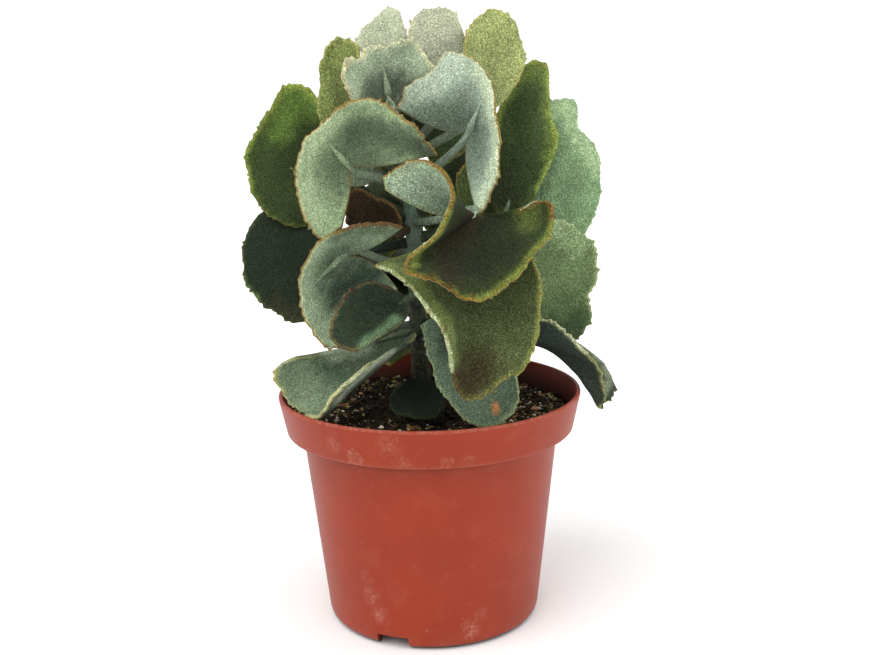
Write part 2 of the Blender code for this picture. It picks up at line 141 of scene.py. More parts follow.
def feed_socket(tree: bpy.types.NodeTree, socket: bpy.types.NodeSocket, feed: Feed) -> None:
    """Link an input to another node's output, or set its value."""
    if isinstance(feed, bpy.types.NodeSocket):
        tree.links.new(feed, socket)
    else:
        socket.default_value = feed


# Socket places of a colour Mix node, whose names repeat
MIX_SHARE, MIX_A, MIX_B, MIX_RESULT = 0, 6, 7, 2


@dataclass
class MaterialBench:
    """A new material with its Principled shader and object coordinates."""

    name: str
    tree: bpy.types.NodeTree = field(init=False)
    material: bpy.types.Material = field(init=False)
    shader: bpy.types.Node = field(init=False)
    place: bpy.types.NodeSocket = field(init=False)

    def __post_init__(self) -> None:
        """Make the material and find its shader."""
        self.material = bpy.data.materials.new(self.name)
        self.material.use_nodes = True
        self.tree = self.material.node_tree
        self.shader = self.tree.nodes["Principled BSDF"]
        self.place = self.add("TexCoord", {}, "Object")

    def add(self, kind: str, feeds: dict | tuple, output: int | str = 0,
            **settings: object) -> bpy.types.NodeSocket:
        """Add one node to this material, as add_node does."""
        return add_node(self.tree, kind, feeds, output, **settings)

    def shade(self, **sockets: Feed) -> bpy.types.Material:
        """Set or link the shader's inputs, with _ for a space in their names.

        Args:
            **sockets: Values or sockets by input name.

        Returns:
            The finished material.
        """
        for name, feed in sockets.items():
            feed_socket(self.tree, self.shader.inputs[name.replace("_", " ")], feed)
        return self.material


# ---------------------------------------------------------------------------
# Finishes
# ---------------------------------------------------------------------------


@dataclass(frozen=True)
class LeafFelt:
    """Grown felt: a coat of short branched hairs over a green or brown skin.

    The hairs catch light from every side, so the leaf looks soft and never glossy. Up
    close they are a fine pale speckle over the skin, with small dark gaps between tufts.
    """

    name: str
    hair: float              # how much paler than the skin a tuft is
    cover: float             # how solid the tufts are
    gaps: float              # how much of the gaps between tufts is in shade
    sheen: float
    shade: float = 0.28      # share of the skin's tone that is left in the shade
    tuft: float = 0.6        # drawn larger than the real hairs, so that they show
    clump: float = 3.2

    def material(self) -> bpy.types.Material:
        """Make the felt as a material that reads the blade's painted tone."""
        bench = MaterialBench(self.name)
        tone = bench.add("Attribute", {}, "Color", attribute_name="felt_tone")
        pale, deep = (bench.add("VectorMath", {0: tone, "Scale": factor}, operation="SCALE")
                      for factor in (self.hair, self.shade))
        tufts, pits, clumps = (
            bench.add("TexNoise", {"Vector": bench.place, "Scale": per_metre(size),
                                   "Detail": detail, "Roughness": rough})
            for size, detail, rough in (
                (self.tuft, 3.0, 0.65), (self.tuft * 1.5, 2.0, 0.6), (self.clump, 3.0, 0.55)))
        colour = tone
        for pattern, low, high, most, over in (
                (clumps, 0.4, 0.66, 0.32, deep), (pits, 0.5, 0.68, self.gaps, deep),
                (tufts, 0.5, 0.64, self.cover, pale)):
            share = bench.add("MapRange", (pattern, low, high, 0.0, most))
            colour = bench.add("Mix", {MIX_SHARE: share, MIX_A: colour, MIX_B: over},
                               MIX_RESULT, data_type="RGBA")
        swell = bench.add("Math", (clumps, 0.8), operation="MULTIPLY")
        height = bench.add("Math", (tufts, swell), operation="ADD")
        return bench.shade(
            Base_Color=colour, Roughness=bench.add("MapRange", (tufts, 0.35, 0.65, 0.95, 0.75)),
            Sheen_Weight=self.sheen, Sheen_Roughness=0.45, Specular_IOR_Level=0.15,
            Normal=bench.add("Bump", {"Height": height, "Strength": 0.6, "Distance": 0.4 * MM}))


FELTS = {
    Slot.SILVER: LeafFelt("silver_leaf_felt_grown", 2.0, 0.8, 0.6, 0.10),
    Slot.OLIVE: LeafFelt("olive_leaf_felt_grown", 2.6, 0.75, 0.7, 0.03),
    Slot.GREEN: LeafFelt("green_leaf_felt_grown", 2.3, 0.75, 0.65, 0.04),
    Slot.DARK: LeafFelt("dark_leaf_felt_grown", 2.6, 0.6, 0.7, 0.03),
    Slot.BROWN: LeafFelt("brown_leaf_felt_grown", 2.4, 0.6, 0.7, 0.02),
}


@dataclass(frozen=True)
class MouldedPolypropylene:
    """Injection-moulded polypropylene of a nursery pot, terracotta coloured.

    The mould leaves a matt skin with a soft shine at a low angle. Water has dried on it
    in pale lime rings and smears. A painted highlight runs along the lip and the band's
    edge, and painted shade darkens the inner wall below the rim and the step under the band.
    """

    body: str = "#922D0B"
    shade: str = "#86280A"
    lime: str = "#C08B78"
    # Painted shade: the dark tone laid where the marks fall below 0
    painted_shade: str = "#1C0F09"

    def material(self) -> bpy.types.Material:
        """Make the plastic with its lime marks, painted highlights and painted shade."""
        bench = MaterialBench("terracotta_polypropylene_moulded")
        cloud, grain, broken, speck, smear = (
            bench.add("TexNoise", {"Vector": bench.place, "Scale": per_metre(size),
                                   "Detail": detail, "Roughness": rough})
            for size, detail, rough in (
                (26.0, 3.0, 0.55), (0.7, 2.0, 0.55), (1.5, 4.0, 0.7), (1.1, 1.0, 0.55),
                (9.0, 4.0, 0.65)))
        marks = bench.add("Attribute", {}, "Fac", attribute_name="lime_dust_and_painted_light")
        crust = bench.add("MapRange", (broken, 0.38, 0.62, 0.0, 1.0))
        lime = bench.add("Math", (marks, crust), operation="MULTIPLY")
        specks = bench.add("MapRange", (speck, 0.74, 0.8, 0.0, 0.35))
        smears = bench.add("MapRange", (smear, 0.55, 0.78, 0.0, 0.16))
        haze = bench.add("Math", (smears, broken), operation="MULTIPLY")
        spots = bench.add("Math", (lime, specks), operation="MAXIMUM")
        cover = bench.add("Math", (spots, haze), operation="MAXIMUM")
        clouded = bench.add("MapRange", (cloud, 0.35, 0.65, 0.0, 0.55))
        # Painted shade where the marks fall below 0: the step under the band and the inner wall
        painted_shade_share = bench.add("MapRange", (marks, -1.0, 0.0, 0.9, 0.0))
        colour = linear(self.body)
        for share, over in ((clouded, linear(self.shade)), (cover, linear(self.lime)),
                            (painted_shade_share, linear(self.painted_shade))):
            colour = bench.add("Mix", {MIX_SHARE: share, MIX_A: colour, MIX_B: over},
                               MIX_RESULT, data_type="RGBA")
        raised = bench.add("Math", (cover, 0.6), operation="MULTIPLY")
        height = bench.add("Math", (grain, raised), operation="ADD")
        return bench.shade(
            Base_Color=colour, Roughness=bench.add("MapRange", (cover, 0.0, 0.6, 0.44, 0.75)),
            IOR=1.49, Specular_IOR_Level=0.32,
            Normal=bench.add("Bump", {"Height": height, "Strength": 0.12,
                                      "Distance": 0.08 * MM}))


@dataclass(frozen=True)
class LooseBits:
    """One kind of grain in a peat mix, dull and broken, each grain in its own shade."""

    name: str
    dark: str
    pale: str
    grain: float

    def material(self) -> bpy.types.Material:
        """Make the grains' material, which reads each grain's own shade."""
        bench = MaterialBench(self.name)
        fine = bench.add("TexNoise", {"Vector": bench.place, "Scale": per_metre(self.grain),
                                      "Detail": 3.0, "Roughness": 0.7})
        own = bench.add("Attribute", {}, "Fac", attribute_name="grain_shade")
        shade = bench.add("Math", (bench.add("Math", (own, 0.7), operation="MULTIPLY"),
                                   bench.add("MapRange", (fine, 0.3, 0.7, 0.0, 0.3))),
                          operation="ADD")
        colour = bench.add("Mix", {MIX_SHARE: shade, MIX_A: linear(self.dark),
                                   MIX_B: linear(self.pale)}, MIX_RESULT, data_type="RGBA")
        return bench.shade(
            Base_Color=colour,
            Roughness=bench.add("MapRange", (fine, 0.3, 0.7, 0.96, 0.82)),
            Specular_IOR_Level=0.2,
            Normal=bench.add("Bump", {"Height": fine, "Strength": 0.6, "Distance": 0.25 * MM}))


PEAT = LooseBits("peat_crumb_milled", "#15100B", "#3A2C1E", 0.6)
GRIT = LooseBits("pumice_grit_crushed", "#B5A78A", "#F2EAD6", 0.5)
BARK = LooseBits("pine_bark_chipped", "#4A2C18", "#C29362", 0.7)
MOSS = LooseBits("moss_scrap_dried", "#55582C", "#C2BE84", 0.5)
FIBRE = LooseBits("coir_fibre_loose", "#3A2A1A", "#8A7450", 0.5)


@dataclass(frozen=True)
class StemRind:
    """Rind of a young stem, green under a thin coat of felt, darker and browner towards
    the soil: older rind there, with painted shade from the leaves above.
    """

    young: str = "#4C5C4E"
    old: str = "#2E3020"
    scar: str = "#2A261A"
    hair: str = "#C9D2BC"

    def material(self) -> bpy.types.Material:
        """Make the rind with its lengthwise grain."""
        bench = MaterialBench("felted_stem_rind_grown")
        # Share of the young tone: lower down the rind is older and darkened as painted shade
        young_and_lit = bench.add("Attribute", {}, "Fac", attribute_name="rind_youth_and_light")
        drawn = bench.add("Mapping", {"Vector": bench.place, "Scale": (1.0, 1.0, 0.25)})
        grain, tufts = (
            bench.add("TexNoise", {"Vector": place, "Scale": per_metre(size),
                                   "Detail": 3.0, "Roughness": 0.6})
            for place, size in ((drawn, 0.9), (bench.place, 0.8)))
        lined = bench.add("MapRange", (grain, 0.52, 0.68, 0.0, 0.5))
        furred = bench.add("MapRange", (tufts, 0.52, 0.68, 0.0, 0.12))
        colour = linear(self.old)
        for share, over in ((young_and_lit, linear(self.young)), (lined, linear(self.scar)),
                            (furred, linear(self.hair))):
            colour = bench.add("Mix", {MIX_SHARE: share, MIX_A: colour, MIX_B: over},
                               MIX_RESULT, data_type="RGBA")
        height = bench.add("Math", (grain, tufts), operation="ADD")
        return bench.shade(
            Base_Color=colour, Roughness=0.88, Sheen_Weight=0.08, Specular_IOR_Level=0.25,
            Sheen_Tint=linear(self.hair),
            Normal=bench.add("Bump", {"Height": height, "Strength": 0.5, "Distance": 0.3 * MM}))


@dataclass(frozen=True)
class MattPaper:
    """Matt pale paper sweep, rolled out flat, with a faint tooth."""

    colour: str = "#F7F7F6"
    hollow: str = "#F2F2F1"

    def material(self) -> bpy.types.Material:
        """Make the paper of the floor."""
        bench = MaterialBench("pale_paper_sweep")
        tooth = bench.add("TexNoise", {"Vector": bench.place, "Scale": per_metre(1.2),
                                       "Detail": 2.0, "Roughness": 0.55})
        share = bench.add("MapRange", (tooth, 0.3, 0.7, 0.0, 0.2))
        colour = bench.add("Mix", {MIX_SHARE: share, MIX_A: linear(self.colour),
                                   MIX_B: linear(self.hollow)}, MIX_RESULT, data_type="RGBA")
        return bench.shade(
            Base_Color=colour, Roughness=0.95, Specular_IOR_Level=0.1,
            Normal=bench.add("Bump", {"Height": tooth, "Strength": 0.05,
                                      "Distance": 0.05 * MM}))


# ---------------------------------------------------------------------------
# Shape helpers, in millimetres
# ---------------------------------------------------------------------------


SPAN_SAMPLES = 24        # points read between two corners of a smooth line
EDGE_SAMPLES = 200       # points read along a leaf's edge
TRACE_SAMPLES = 8        # points read between two corners of a painted line


def blend(under: np.ndarray, over: np.ndarray, share: np.ndarray) -> np.ndarray:
    """Lay one tone over another, by a share for each point."""
    return under + (over - under) * share[..., None]


def smoothstep(value: np.ndarray, low: float, high: float) -> np.ndarray:
    """Ease from 0 at low to 1 at high; low may be the larger."""
    share = np.clip((value - low) / (high - low), 0.0, 1.0)
    return share * share * (3 - 2 * share)


def unit(vectors: np.ndarray) -> np.ndarray:
    """Scale vectors to length 1."""
    return vectors / np.maximum(np.linalg.norm(vectors, axis=-1, keepdims=True), 1e-9)


def smooth_line(points: tuple[Point, ...], count: int) -> np.ndarray:
    """Read count + 1 points at even steps along a curve through the given points.

    Args:
        points: Points that the curve passes through.
        count: Number of steps.

    Returns:
        The points, as an array of rows.
    """
    line = np.array(points, float)
    line = np.vstack((2 * line[0] - line[1], line, 2 * line[-1] - line[-2]))
    steps = np.linalg.norm(np.diff(line, axis=0), axis=1) ** 0.5
    times = np.concatenate(((0.0,), np.cumsum(steps)))
    fine = []
    for i in range(1, len(line) - 2):
        p0, p1, p2, p3 = line[i - 1:i + 3]
        t0, t1, t2, t3 = times[i - 1:i + 3]
        t = np.linspace(t1, t2, SPAN_SAMPLES, endpoint=False)[:, None]
        a1 = (p0 * (t1 - t) + p1 * (t - t0)) / (t1 - t0)
        a2 = (p1 * (t2 - t) + p2 * (t - t1)) / (t2 - t1)
        a3 = (p2 * (t3 - t) + p3 * (t - t2)) / (t3 - t2)
        b1 = (a1 * (t2 - t) + a2 * (t - t0)) / (t2 - t0)
        b2 = (a2 * (t3 - t) + a3 * (t - t1)) / (t3 - t1)
        fine.append((b1 * (t2 - t) + b2 * (t - t1)) / (t2 - t1))
    dense = np.vstack(fine + [line[-2:-1]])
    along = np.concatenate(((0.0,), np.cumsum(np.linalg.norm(np.diff(dense, axis=0), axis=1))))
    wanted = np.linspace(0.0, along[-1], count + 1)
    return np.stack([np.interp(wanted, along, dense[:, k]) for k in range(3)], axis=1)


def line_length(line: np.ndarray) -> float:
    """Length of a line of points."""
    return float(np.linalg.norm(np.diff(line, axis=0), axis=1).sum())


def soft_noise(places: np.ndarray, size: float, seed: float = 0.0) -> np.ndarray:
    """Smooth, repeatable noise in space, from about -1 to 1.

    Args:
        places: Points in millimetres, in the last axis.
        size: Width of a swell in millimetres.
        seed: Shifts the pattern.

    Returns:
        One value per point.
    """
    x, y, z = (places[..., k] * (2 * pi / size) for k in range(3))
    total = np.sin(0.83 * x + 0.41 * y - 0.57 * z + seed)
    total += np.sin(-0.52 * x + 0.77 * y + 0.69 * z + 2.1 * seed + 1.3)
    total += np.sin(1.31 * x - 0.94 * y + 0.72 * z + 3.7 * seed + 4.0) * 0.7
    total += np.sin(0.66 * x + 1.27 * y - 1.18 * z + 5.3 * seed + 2.2) * 0.7
    return total / 2.4


def distance_to_line(places: np.ndarray, corners: np.ndarray) -> np.ndarray:
    """Distance from points to a broken line, or to its one point.

    Args:
        places: Points in the last axis.
        corners: Corners of the line, row by row.

    Returns:
        The distance of each point in millimetres.
    """
    if len(corners) == 1:
        return np.linalg.norm(places - corners[0], axis=-1)
    near = np.full(places.shape[:-1], 1e9)
    for start, end in zip(corners, corners[1:]):
        run = end - start
        share = np.clip((places - start) @ run / (run @ run), 0.0, 1.0)
        gap = places - start - share[..., None] * run
        near = np.minimum(near, np.linalg.norm(gap, axis=-1))
    return near


def signed_volume(points: np.ndarray, faces: list[tuple[int, ...]]) -> float:
    """Volume inside closed faces, negative where they are wound inside out.

    Args:
        points: Rows of x, y, z.
        faces: Corner numbers of each face.

    Returns:
        The volume in cubic units of the points.
    """
    total = 0.0
    for corners in {len(face) for face in faces}:
        at = points[np.array([face for face in faces if len(face) == corners])]
        for k in range(1, corners - 1):
            total += float(np.einsum("ij,ij->", at[:, 0], np.cross(at[:, k], at[:, k + 1])))
    return total / 6


@dataclass
class Shape:
    """Vertices, faces and painted values of a piece that is being built."""

    points: list[np.ndarray] = field(default_factory=list)
    faces: list[tuple[int, ...]] = field(default_factory=list)
    paint: list[np.ndarray] = field(default_factory=list)
    count: int = 0

    def add(self, points: np.ndarray, faces: list, paint: np.ndarray) -> None:
        """Add a closed part with its paint, its faces wound outwards.

        Args:
            points: Rows of x, y, z in millimetres.
            faces: Corner numbers, counted from this part's first point.
            paint: One row of colour, or one value, for each point.
        """
        first = self.count
        self.points.append(np.asarray(points, float))
        order = -1 if signed_volume(self.points[-1], faces) < 0 else 1
        self.faces.extend(tuple(int(c) + first for c in face[::order]) for face in faces)
        self.paint.append(np.asarray(paint, float))
        self.count += len(points)

    def piece(self, name: str, material: bpy.types.Material, slot: Slot,
              paint_name: str) -> bpy.types.Object:
        """Make the object, smooth shaded, and let it ride on the plant.

        Args:
            name: Name of the piece.
            material: Its finish.
            slot: Material slot of the record. Not used.
            paint_name: Name of the painted attribute.

        Returns:
            The new object.
        """
        mesh = bpy.data.meshes.new(name)
        mesh.from_pydata(np.vstack(self.points) * MM, [], self.faces)
        values = np.concatenate(self.paint)
        if values.ndim == 2:
            layer = mesh.color_attributes.new(paint_name, "FLOAT_COLOR", "POINT")
            rows = np.column_stack((values, np.ones(len(values))))
            layer.data.foreach_set("color", rows.astype(np.float32).ravel())
        else:
            layer = mesh.attributes.new(paint_name, "FLOAT", "POINT")
            layer.data.foreach_set("value", values.astype(np.float32))
        mesh.shade_smooth()
        mesh.materials.append(material)
        made = bpy.data.objects.new(name, mesh)
        bpy.context.collection.objects.link(made)
        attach(made, BODY)
        return made


def grid_faces(rows: int, columns: int, closed: bool = False) -> list[tuple[int, ...]]:
    """Quads of a grid whose points are numbered row by row.

    Args:
        rows: Number of rows.
        columns: Points in a row.
        closed: Whether each row joins its own start.

    Returns:
        The corner numbers of each quad.
    """
    last = columns if closed else columns - 1
    faces = []
    for i in range(rows - 1):
        for j in range(last):
            k = (j + 1) % columns
            a, b = i * columns, (i + 1) * columns
            faces.append((a + j, a + k, b + k, b + j))
    return faces


def ring_points(radius: float, height: float, turn: np.ndarray) -> np.ndarray:
    """Points of a level circle round the pot's axis, at the given angles."""
    return np.column_stack((radius * np.cos(turn), radius * np.sin(turn),
                            np.full(len(turn), height)))


def tube_parts(line: np.ndarray, radii: np.ndarray, sides: int,
               flat: float = 1.0, face: np.ndarray | None = None) -> tuple[np.ndarray, list]:
    """Build a closed tube with rounded ends along a line.

    Args:
        line: Rows of centre points.
        radii: Radius at each point.
        sides: Points round the tube.
        flat: Thickness across the face, as a share of the width.
        face: Direction that the flatter side faces.

    Returns:
        The points, and the faces by corner number.
    """
    ahead = unit(np.gradient(line, axis=0))
    across = np.array((1.0, 0.0, 0.0)) if face is None else np.asarray(face, float)
    turn = 2 * pi * np.arange(sides) / sides
    rings = []
    for point, forward, radius in zip(line, ahead, radii):
        across = unit(across - forward * (across @ forward))
        side = np.cross(forward, across)
        spoke = np.outer(np.cos(turn), side) + np.outer(np.sin(turn), across * flat)
        rings.append(point + spoke * radius)
    points = np.vstack(rings + [line[:1], line[-1:]])
    faces = grid_faces(len(line), sides, closed=True)
    start, end = len(points) - 2, len(points) - 1
    base = (len(line) - 1) * sides
    faces += [(start, (j + 1) % sides, j) for j in range(sides)]
    faces += [(end, base + j, base + (j + 1) % sides) for j in range(sides)]
    return points, faces


# ---------------------------------------------------------------------------
# Stem
# ---------------------------------------------------------------------------


@dataclass
class Stem:
    """Upright stem with the rings that fallen leaves have left."""

    line: tuple[Point, ...] = ((-3, 3, 86.5), (-4, 2, 130), (-5, 2, 160), (-7, 0, 180),
                               (-11, -4, 197))
    foot_radius: float = 3.8
    top_radius: float = 2.2
    buried: float = 3.0
    scars: tuple[float, float, float] = (3.0, 112.0, 4.5)   # first above foot, last, step
    node_swell: float = 0.45
    scar_depth: float = 0.25
    rings: int = 150
    sides: int = 40

    def point(self, height: float) -> np.ndarray:
        """Centre of the stem at a height."""
        line = smooth_line(self.line, 240)
        return line[np.argmin(np.abs(line[:, 2] - height))]

    def radius(self, height: np.ndarray | float) -> np.ndarray | float:
        """Radius of the stem at a height."""
        foot, top = self.line[0][2], self.line[-1][2]
        return self.foot_radius + (self.top_radius - self.foot_radius) * (height - foot) / (
            top - foot)

    def build(self, nodes: list[float]) -> bpy.types.Object:
        """Build the stem, a little swollen at each leaf's node.

        Args:
            nodes: Heights at which leaves leave the stem.

        Returns:
            The stem.
        """
        line = smooth_line(self.line, self.rings)
        line[0, 2] -= self.buried
        heights = line[:, 2]
        radii = np.asarray(self.radius(heights))
        for node in nodes:
            radii = radii + self.node_swell * np.exp(-((heights - node) / 1.6) ** 2)
        first, last, step = self.scars
        for scar in np.arange(self.line[0][2] + first, last, step):
            radii = radii - self.scar_depth * np.exp(-((heights - scar) / 0.5) ** 2)
        points, faces = tube_parts(line, radii, self.sides)
        points[:, :2] += 0.18 * soft_noise(points, 5.0)[:, None]
        shape = Shape()
        # Darker towards the soil: older rind, with painted shade under the leaves
        shape.add(points, faces, smoothstep(points[:, 2], 100.0, 176.0))
        stem = shape.piece("stem_rind", StemRind().material(), Slot.STEM, "rind_youth_and_light")
        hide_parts("stem")
        return stem


# ---------------------------------------------------------------------------
# Leaves
# ---------------------------------------------------------------------------


@dataclass(frozen=True)
class Wash:
    """A patch of another tone on a blade, soft at its edge, along a line.

    Each corner of the line gives a share of the way along the leaf's edge, from its first
    lobe to its last, and a share of the way from the blade's base out to the edge. Dark
    patches inside the blade are painted shade, pale ones are painted light, and narrow
    brown and gold ones along the edge are rust and gold.
    """

    tone: str
    line: tuple[tuple[float, float], ...]
    width: float
    strength: float = 0.8
    side: Side = Side.BOTH
    soft: float = 0.85


@dataclass(frozen=True)
class Skin:
    """Tones of a leaf: both faces, the edge, how far the edge's tone reaches in, and the painted
    shade at the base.
    """

    upper: str
    lower: str
    edge: str
    edge_width: float
    rust: str
    rust_share: float
    # Painted shade: the blade darkens towards its base, where the plant shades itself
    depth: float = 0.45         # how much darker the blade gets towards its base


@dataclass(frozen=True)
class Leaf:
    """A leaf's plan: where it grows and the line of its edge.

    The edge runs from one basal lobe round the tip to the other. A spoke runs from the
    blade's base to each point of the edge, and curl says how late it turns out of the
    plane that the face gives: 1 is straight, more turns nearer the edge.
    """

    slot: Slot
    skin: Skin
    node: float
    base: Point
    face: Point
    curl: float
    rim: tuple[Point, ...]
    washes: tuple[Wash, ...] = ()
    grain: float = 1.1          # spacing of the blade's mesh
    tooth: float = 1.0          # how far the teeth of the edge stand out
    pitch: float = 4.2          # distance from tooth to tooth
    ripple: float = 0.5         # waves of the blade towards its edge
    lobe: float = 0.2           # how far the basal lobes round out, as a share of length
    thickness: float = 1.8

    def trace(self, line: tuple[tuple[float, float], ...]) -> np.ndarray:
        """Lay a line that is given in shares of the edge and of the spokes on the blade.

        Args:
            line: Shares of the edge and of the spoke, corner by corner.

        Returns:
            Points of the line in millimetres, close enough together to follow the blade.
        """
        corners = np.array(line)
        spans = len(corners) - 1
        steps = np.linspace(0, spans, TRACE_SAMPLES * spans + 1)
        along, reach = (np.interp(steps, range(len(corners)), corners[:, k]) for k in (0, 1))
        base, normal = np.array(self.base, float), unit(np.array(self.face, float))
        edge = smooth_line(self.rim, EDGE_SAMPLES)
        spread = edge[np.round(along * EDGE_SAMPLES).astype(int)] - base
        rise = (spread @ normal)[:, None] * normal
        return base + (spread - rise) * reach[:, None] + rise * reach[:, None] ** self.curl


STALK_SILVER = "#8B9C86"


@dataclass(frozen=True)
class Blade:
    """Builds one leaf as a single closed skin from its plan."""

    name: str
    leaf: Leaf
    seed: float
    edge_steps: tuple[float, ...] = (0.0, 0.08, 0.25, 0.5, 0.85, 1.4, 2.2, 3.2)
    veins: tuple[float, ...] = (0.08, 0.24, 0.38, 0.5, 0.62, 0.76, 0.92)
    end_run: float = 9.0        # millimetres over which the teeth fade at the edge's ends
    lobe_run: float = 0.34      # share of the edge that a basal lobe reaches along
    vein_width: float = 0.9
    stalk_sides: int = 14
    stalk_flat: float = 0.86    # thickness of the stalk as a share of its width

    def reaches(self, lengths: np.ndarray) -> np.ndarray:
        """Share of each spoke at which its rings lie, from the edge in to the base.

        Args:
            lengths: Length of each spoke.

        Returns:
            One row per spoke: 1 at the edge, falling towards the base.
        """
        steps = np.array(self.edge_steps)
        near = 1.0 - steps[None, :] / np.maximum(lengths[:, None], 8.0)
        inner = max(int(np.median(lengths) / self.leaf.grain), 10)
        fall = 1.0 - (np.arange(1, inner + 1) / (inner + 0.35))
        return np.hstack((near, near[:, -1:] * fall[None, :]))

    def middle(self) -> tuple[np.ndarray, np.ndarray, np.ndarray]:
        """Middle surface of the blade.

        Returns:
            Points by spoke and ring, the share of the spoke at each, and the distance
            along the edge of each spoke.
        """
        leaf = self.leaf
        raw = smooth_line(leaf.rim, EDGE_SAMPLES)
        spokes = int(line_length(raw) / (leaf.grain * 0.8))
        rim = smooth_line(leaf.rim, spokes)
        base = np.array(leaf.base, float)
        normal = unit(np.array(leaf.face, float))
        spread = rim - base
        lengths = np.linalg.norm(spread, axis=1)
        travel = np.linspace(0.0, line_length(rim), spokes + 1)
        ends = (smoothstep(travel, 0, self.end_run)
                * smoothstep(travel[-1] - travel, 0, self.end_run))
        share = self.reaches(lengths)
        near_edge = smoothstep(share, 0.8, 1.0)
        reach = share + near_edge * (self.teeth(travel) * ends / lengths)[:, None]
        rise = (spread @ normal)[:, None] * normal
        level = spread - rise
        points = (base + level[:, None, :] * reach[..., None]
                  + rise[:, None, :] * reach[..., None] ** leaf.curl)
        points = points + self.lobes(rim, spread, lengths, travel, reach)
        wave = leaf.ripple * reach ** 2
        side = unit(np.cross(np.gradient(points, axis=0), np.gradient(points, axis=1)))
        swell = soft_noise(points, 26.0, self.seed) + 0.45 * soft_noise(points, 11.0, self.seed)
        points = points + side * (wave * swell)[..., None]
        return points, reach, travel

    def lobes(self, rim: np.ndarray, spread: np.ndarray, lengths: np.ndarray,
              travel: np.ndarray, reach: np.ndarray) -> np.ndarray:
        """Round the blade's two sides out between the base and the edge's ends.

        Args:
            rim: Points of the edge.
            spread: Spokes from the base to the edge.
            lengths: Length of each spoke.
            travel: Distance along the edge.
            reach: Share of each spoke at each ring.

        Returns:
            How far each point moves.
        """
        moved = np.zeros((*reach.shape, 3))
        swell = np.sin(pi * np.clip(reach, 0, 1) ** 0.8)
        for end, near, gap in ((0, 6, travel), (-1, -7, travel[-1] - travel)):
            spoke = unit(spread[end])
            out = unit(rim[end] - rim[near])
            out = unit(out - spoke * (out @ spoke))
            fade = smoothstep(gap, self.lobe_run * travel[-1], 0.0) * self.leaf.lobe * lengths[end]
            moved += (swell * fade[:, None])[..., None] * out
        return moved

    def teeth(self, travel: np.ndarray) -> np.ndarray:
        """How far the toothed edge stands out along the rim.

        Args:
            travel: Distance along the edge in millimetres.

        Returns:
            Millimetres beyond the plan's edge, negative between the teeth.
        """
        leaf = self.leaf
        # The spacing and the size of the teeth sway, so that no two are alike
        phase = travel / leaf.pitch + 0.35 * np.sin(travel * 0.31 + self.seed * 3.1)
        phase = phase + 0.2 * np.sin(travel * 0.83 + self.seed * 1.7)
        bump = 1.0 - np.abs(np.sin(pi * phase)) ** 0.8
        vary = 0.8 + 0.4 * np.sin(travel * 0.57 + self.seed * 5.0)
        scallop = 0.4 * np.sin(travel * 2 * pi / 15.0 + self.seed * 2.0)
        return leaf.tooth * (bump * 1.3 - 0.35) * vary + scallop

    def skins(self) -> tuple[np.ndarray, np.ndarray, np.ndarray, np.ndarray]:
        """Upper and lower skin of the blade, rounded together at the edge.

        Returns:
            Upper points, lower points, distance from the edge, and distance along it.
        """
        leaf = self.leaf
        middle, reach, travel = self.middle()
        across = np.gradient(middle, axis=0)
        inward = np.gradient(middle, axis=1)
        normals = unit(np.cross(across, inward))
        for _ in range(3):
            normals[1:-1] = unit(normals[:-2] + 2 * normals[1:-1] + normals[2:])
        if np.mean(normals[:, -1] @ np.array(leaf.face, float)) < 0:
            normals = -normals
        gaps = np.linalg.norm(np.diff(middle, axis=1), axis=2)
        edge = np.concatenate((np.zeros((len(middle), 1)), np.cumsum(gaps, axis=1)), axis=1)
        left = np.linalg.norm(middle - middle[:1], axis=2)
        right = np.linalg.norm(middle - middle[-1:], axis=2)
        to_edge = np.minimum(edge, np.minimum(left, right))
        half = leaf.thickness / 2
        blunt = half * 1.15
        round_off = np.sqrt(1 - (1 - np.clip(to_edge / blunt, 0, 1)) ** 2)
        body = 0.72 + 0.28 * smoothstep(to_edge, 9.0, 1.0)
        lift = half * round_off * body * (0.4 + 0.6 * smoothstep(reach, 0.0, 0.05))
        step = travel[-1] / (len(middle) - 1)
        rib = np.zeros_like(lift)
        for vein in self.veins:
            off = (np.arange(len(middle)) - vein * (len(middle) - 1))[:, None] * step * reach
            rib = rib + np.exp(-(off / self.vein_width) ** 2)
        rib = np.clip(rib, 0, 1.2) * smoothstep(to_edge, 1.5, 7.0) * (1 - 0.6 * reach)
        upper = middle + normals * (lift - 0.22 * rib)[..., None]
        lower = middle - normals * (lift + 0.34 * rib)[..., None]
        return upper, lower, to_edge, np.broadcast_to(travel[:, None], to_edge.shape)

    def tones(self, points: np.ndarray, to_edge: np.ndarray, travel: np.ndarray,
              side: Side) -> np.ndarray:
        """Paint one face of the blade.

        Args:
            points: Points of the face.
            to_edge: Distance of each point from the edge.
            travel: Distance along the edge.
            side: Which face it is.

        Returns:
            Linear red, green and blue for each point.
        """
        skin = self.leaf.skin
        ground = tone_of(skin.upper if side is Side.UPPER else skin.lower)
        shade = 1.0 + 0.12 * soft_noise(points, 19.0, self.seed + 1)
        lengths = np.linalg.norm(points - np.array(self.leaf.base, float), axis=-1)
        out = lengths / lengths[:, :1]
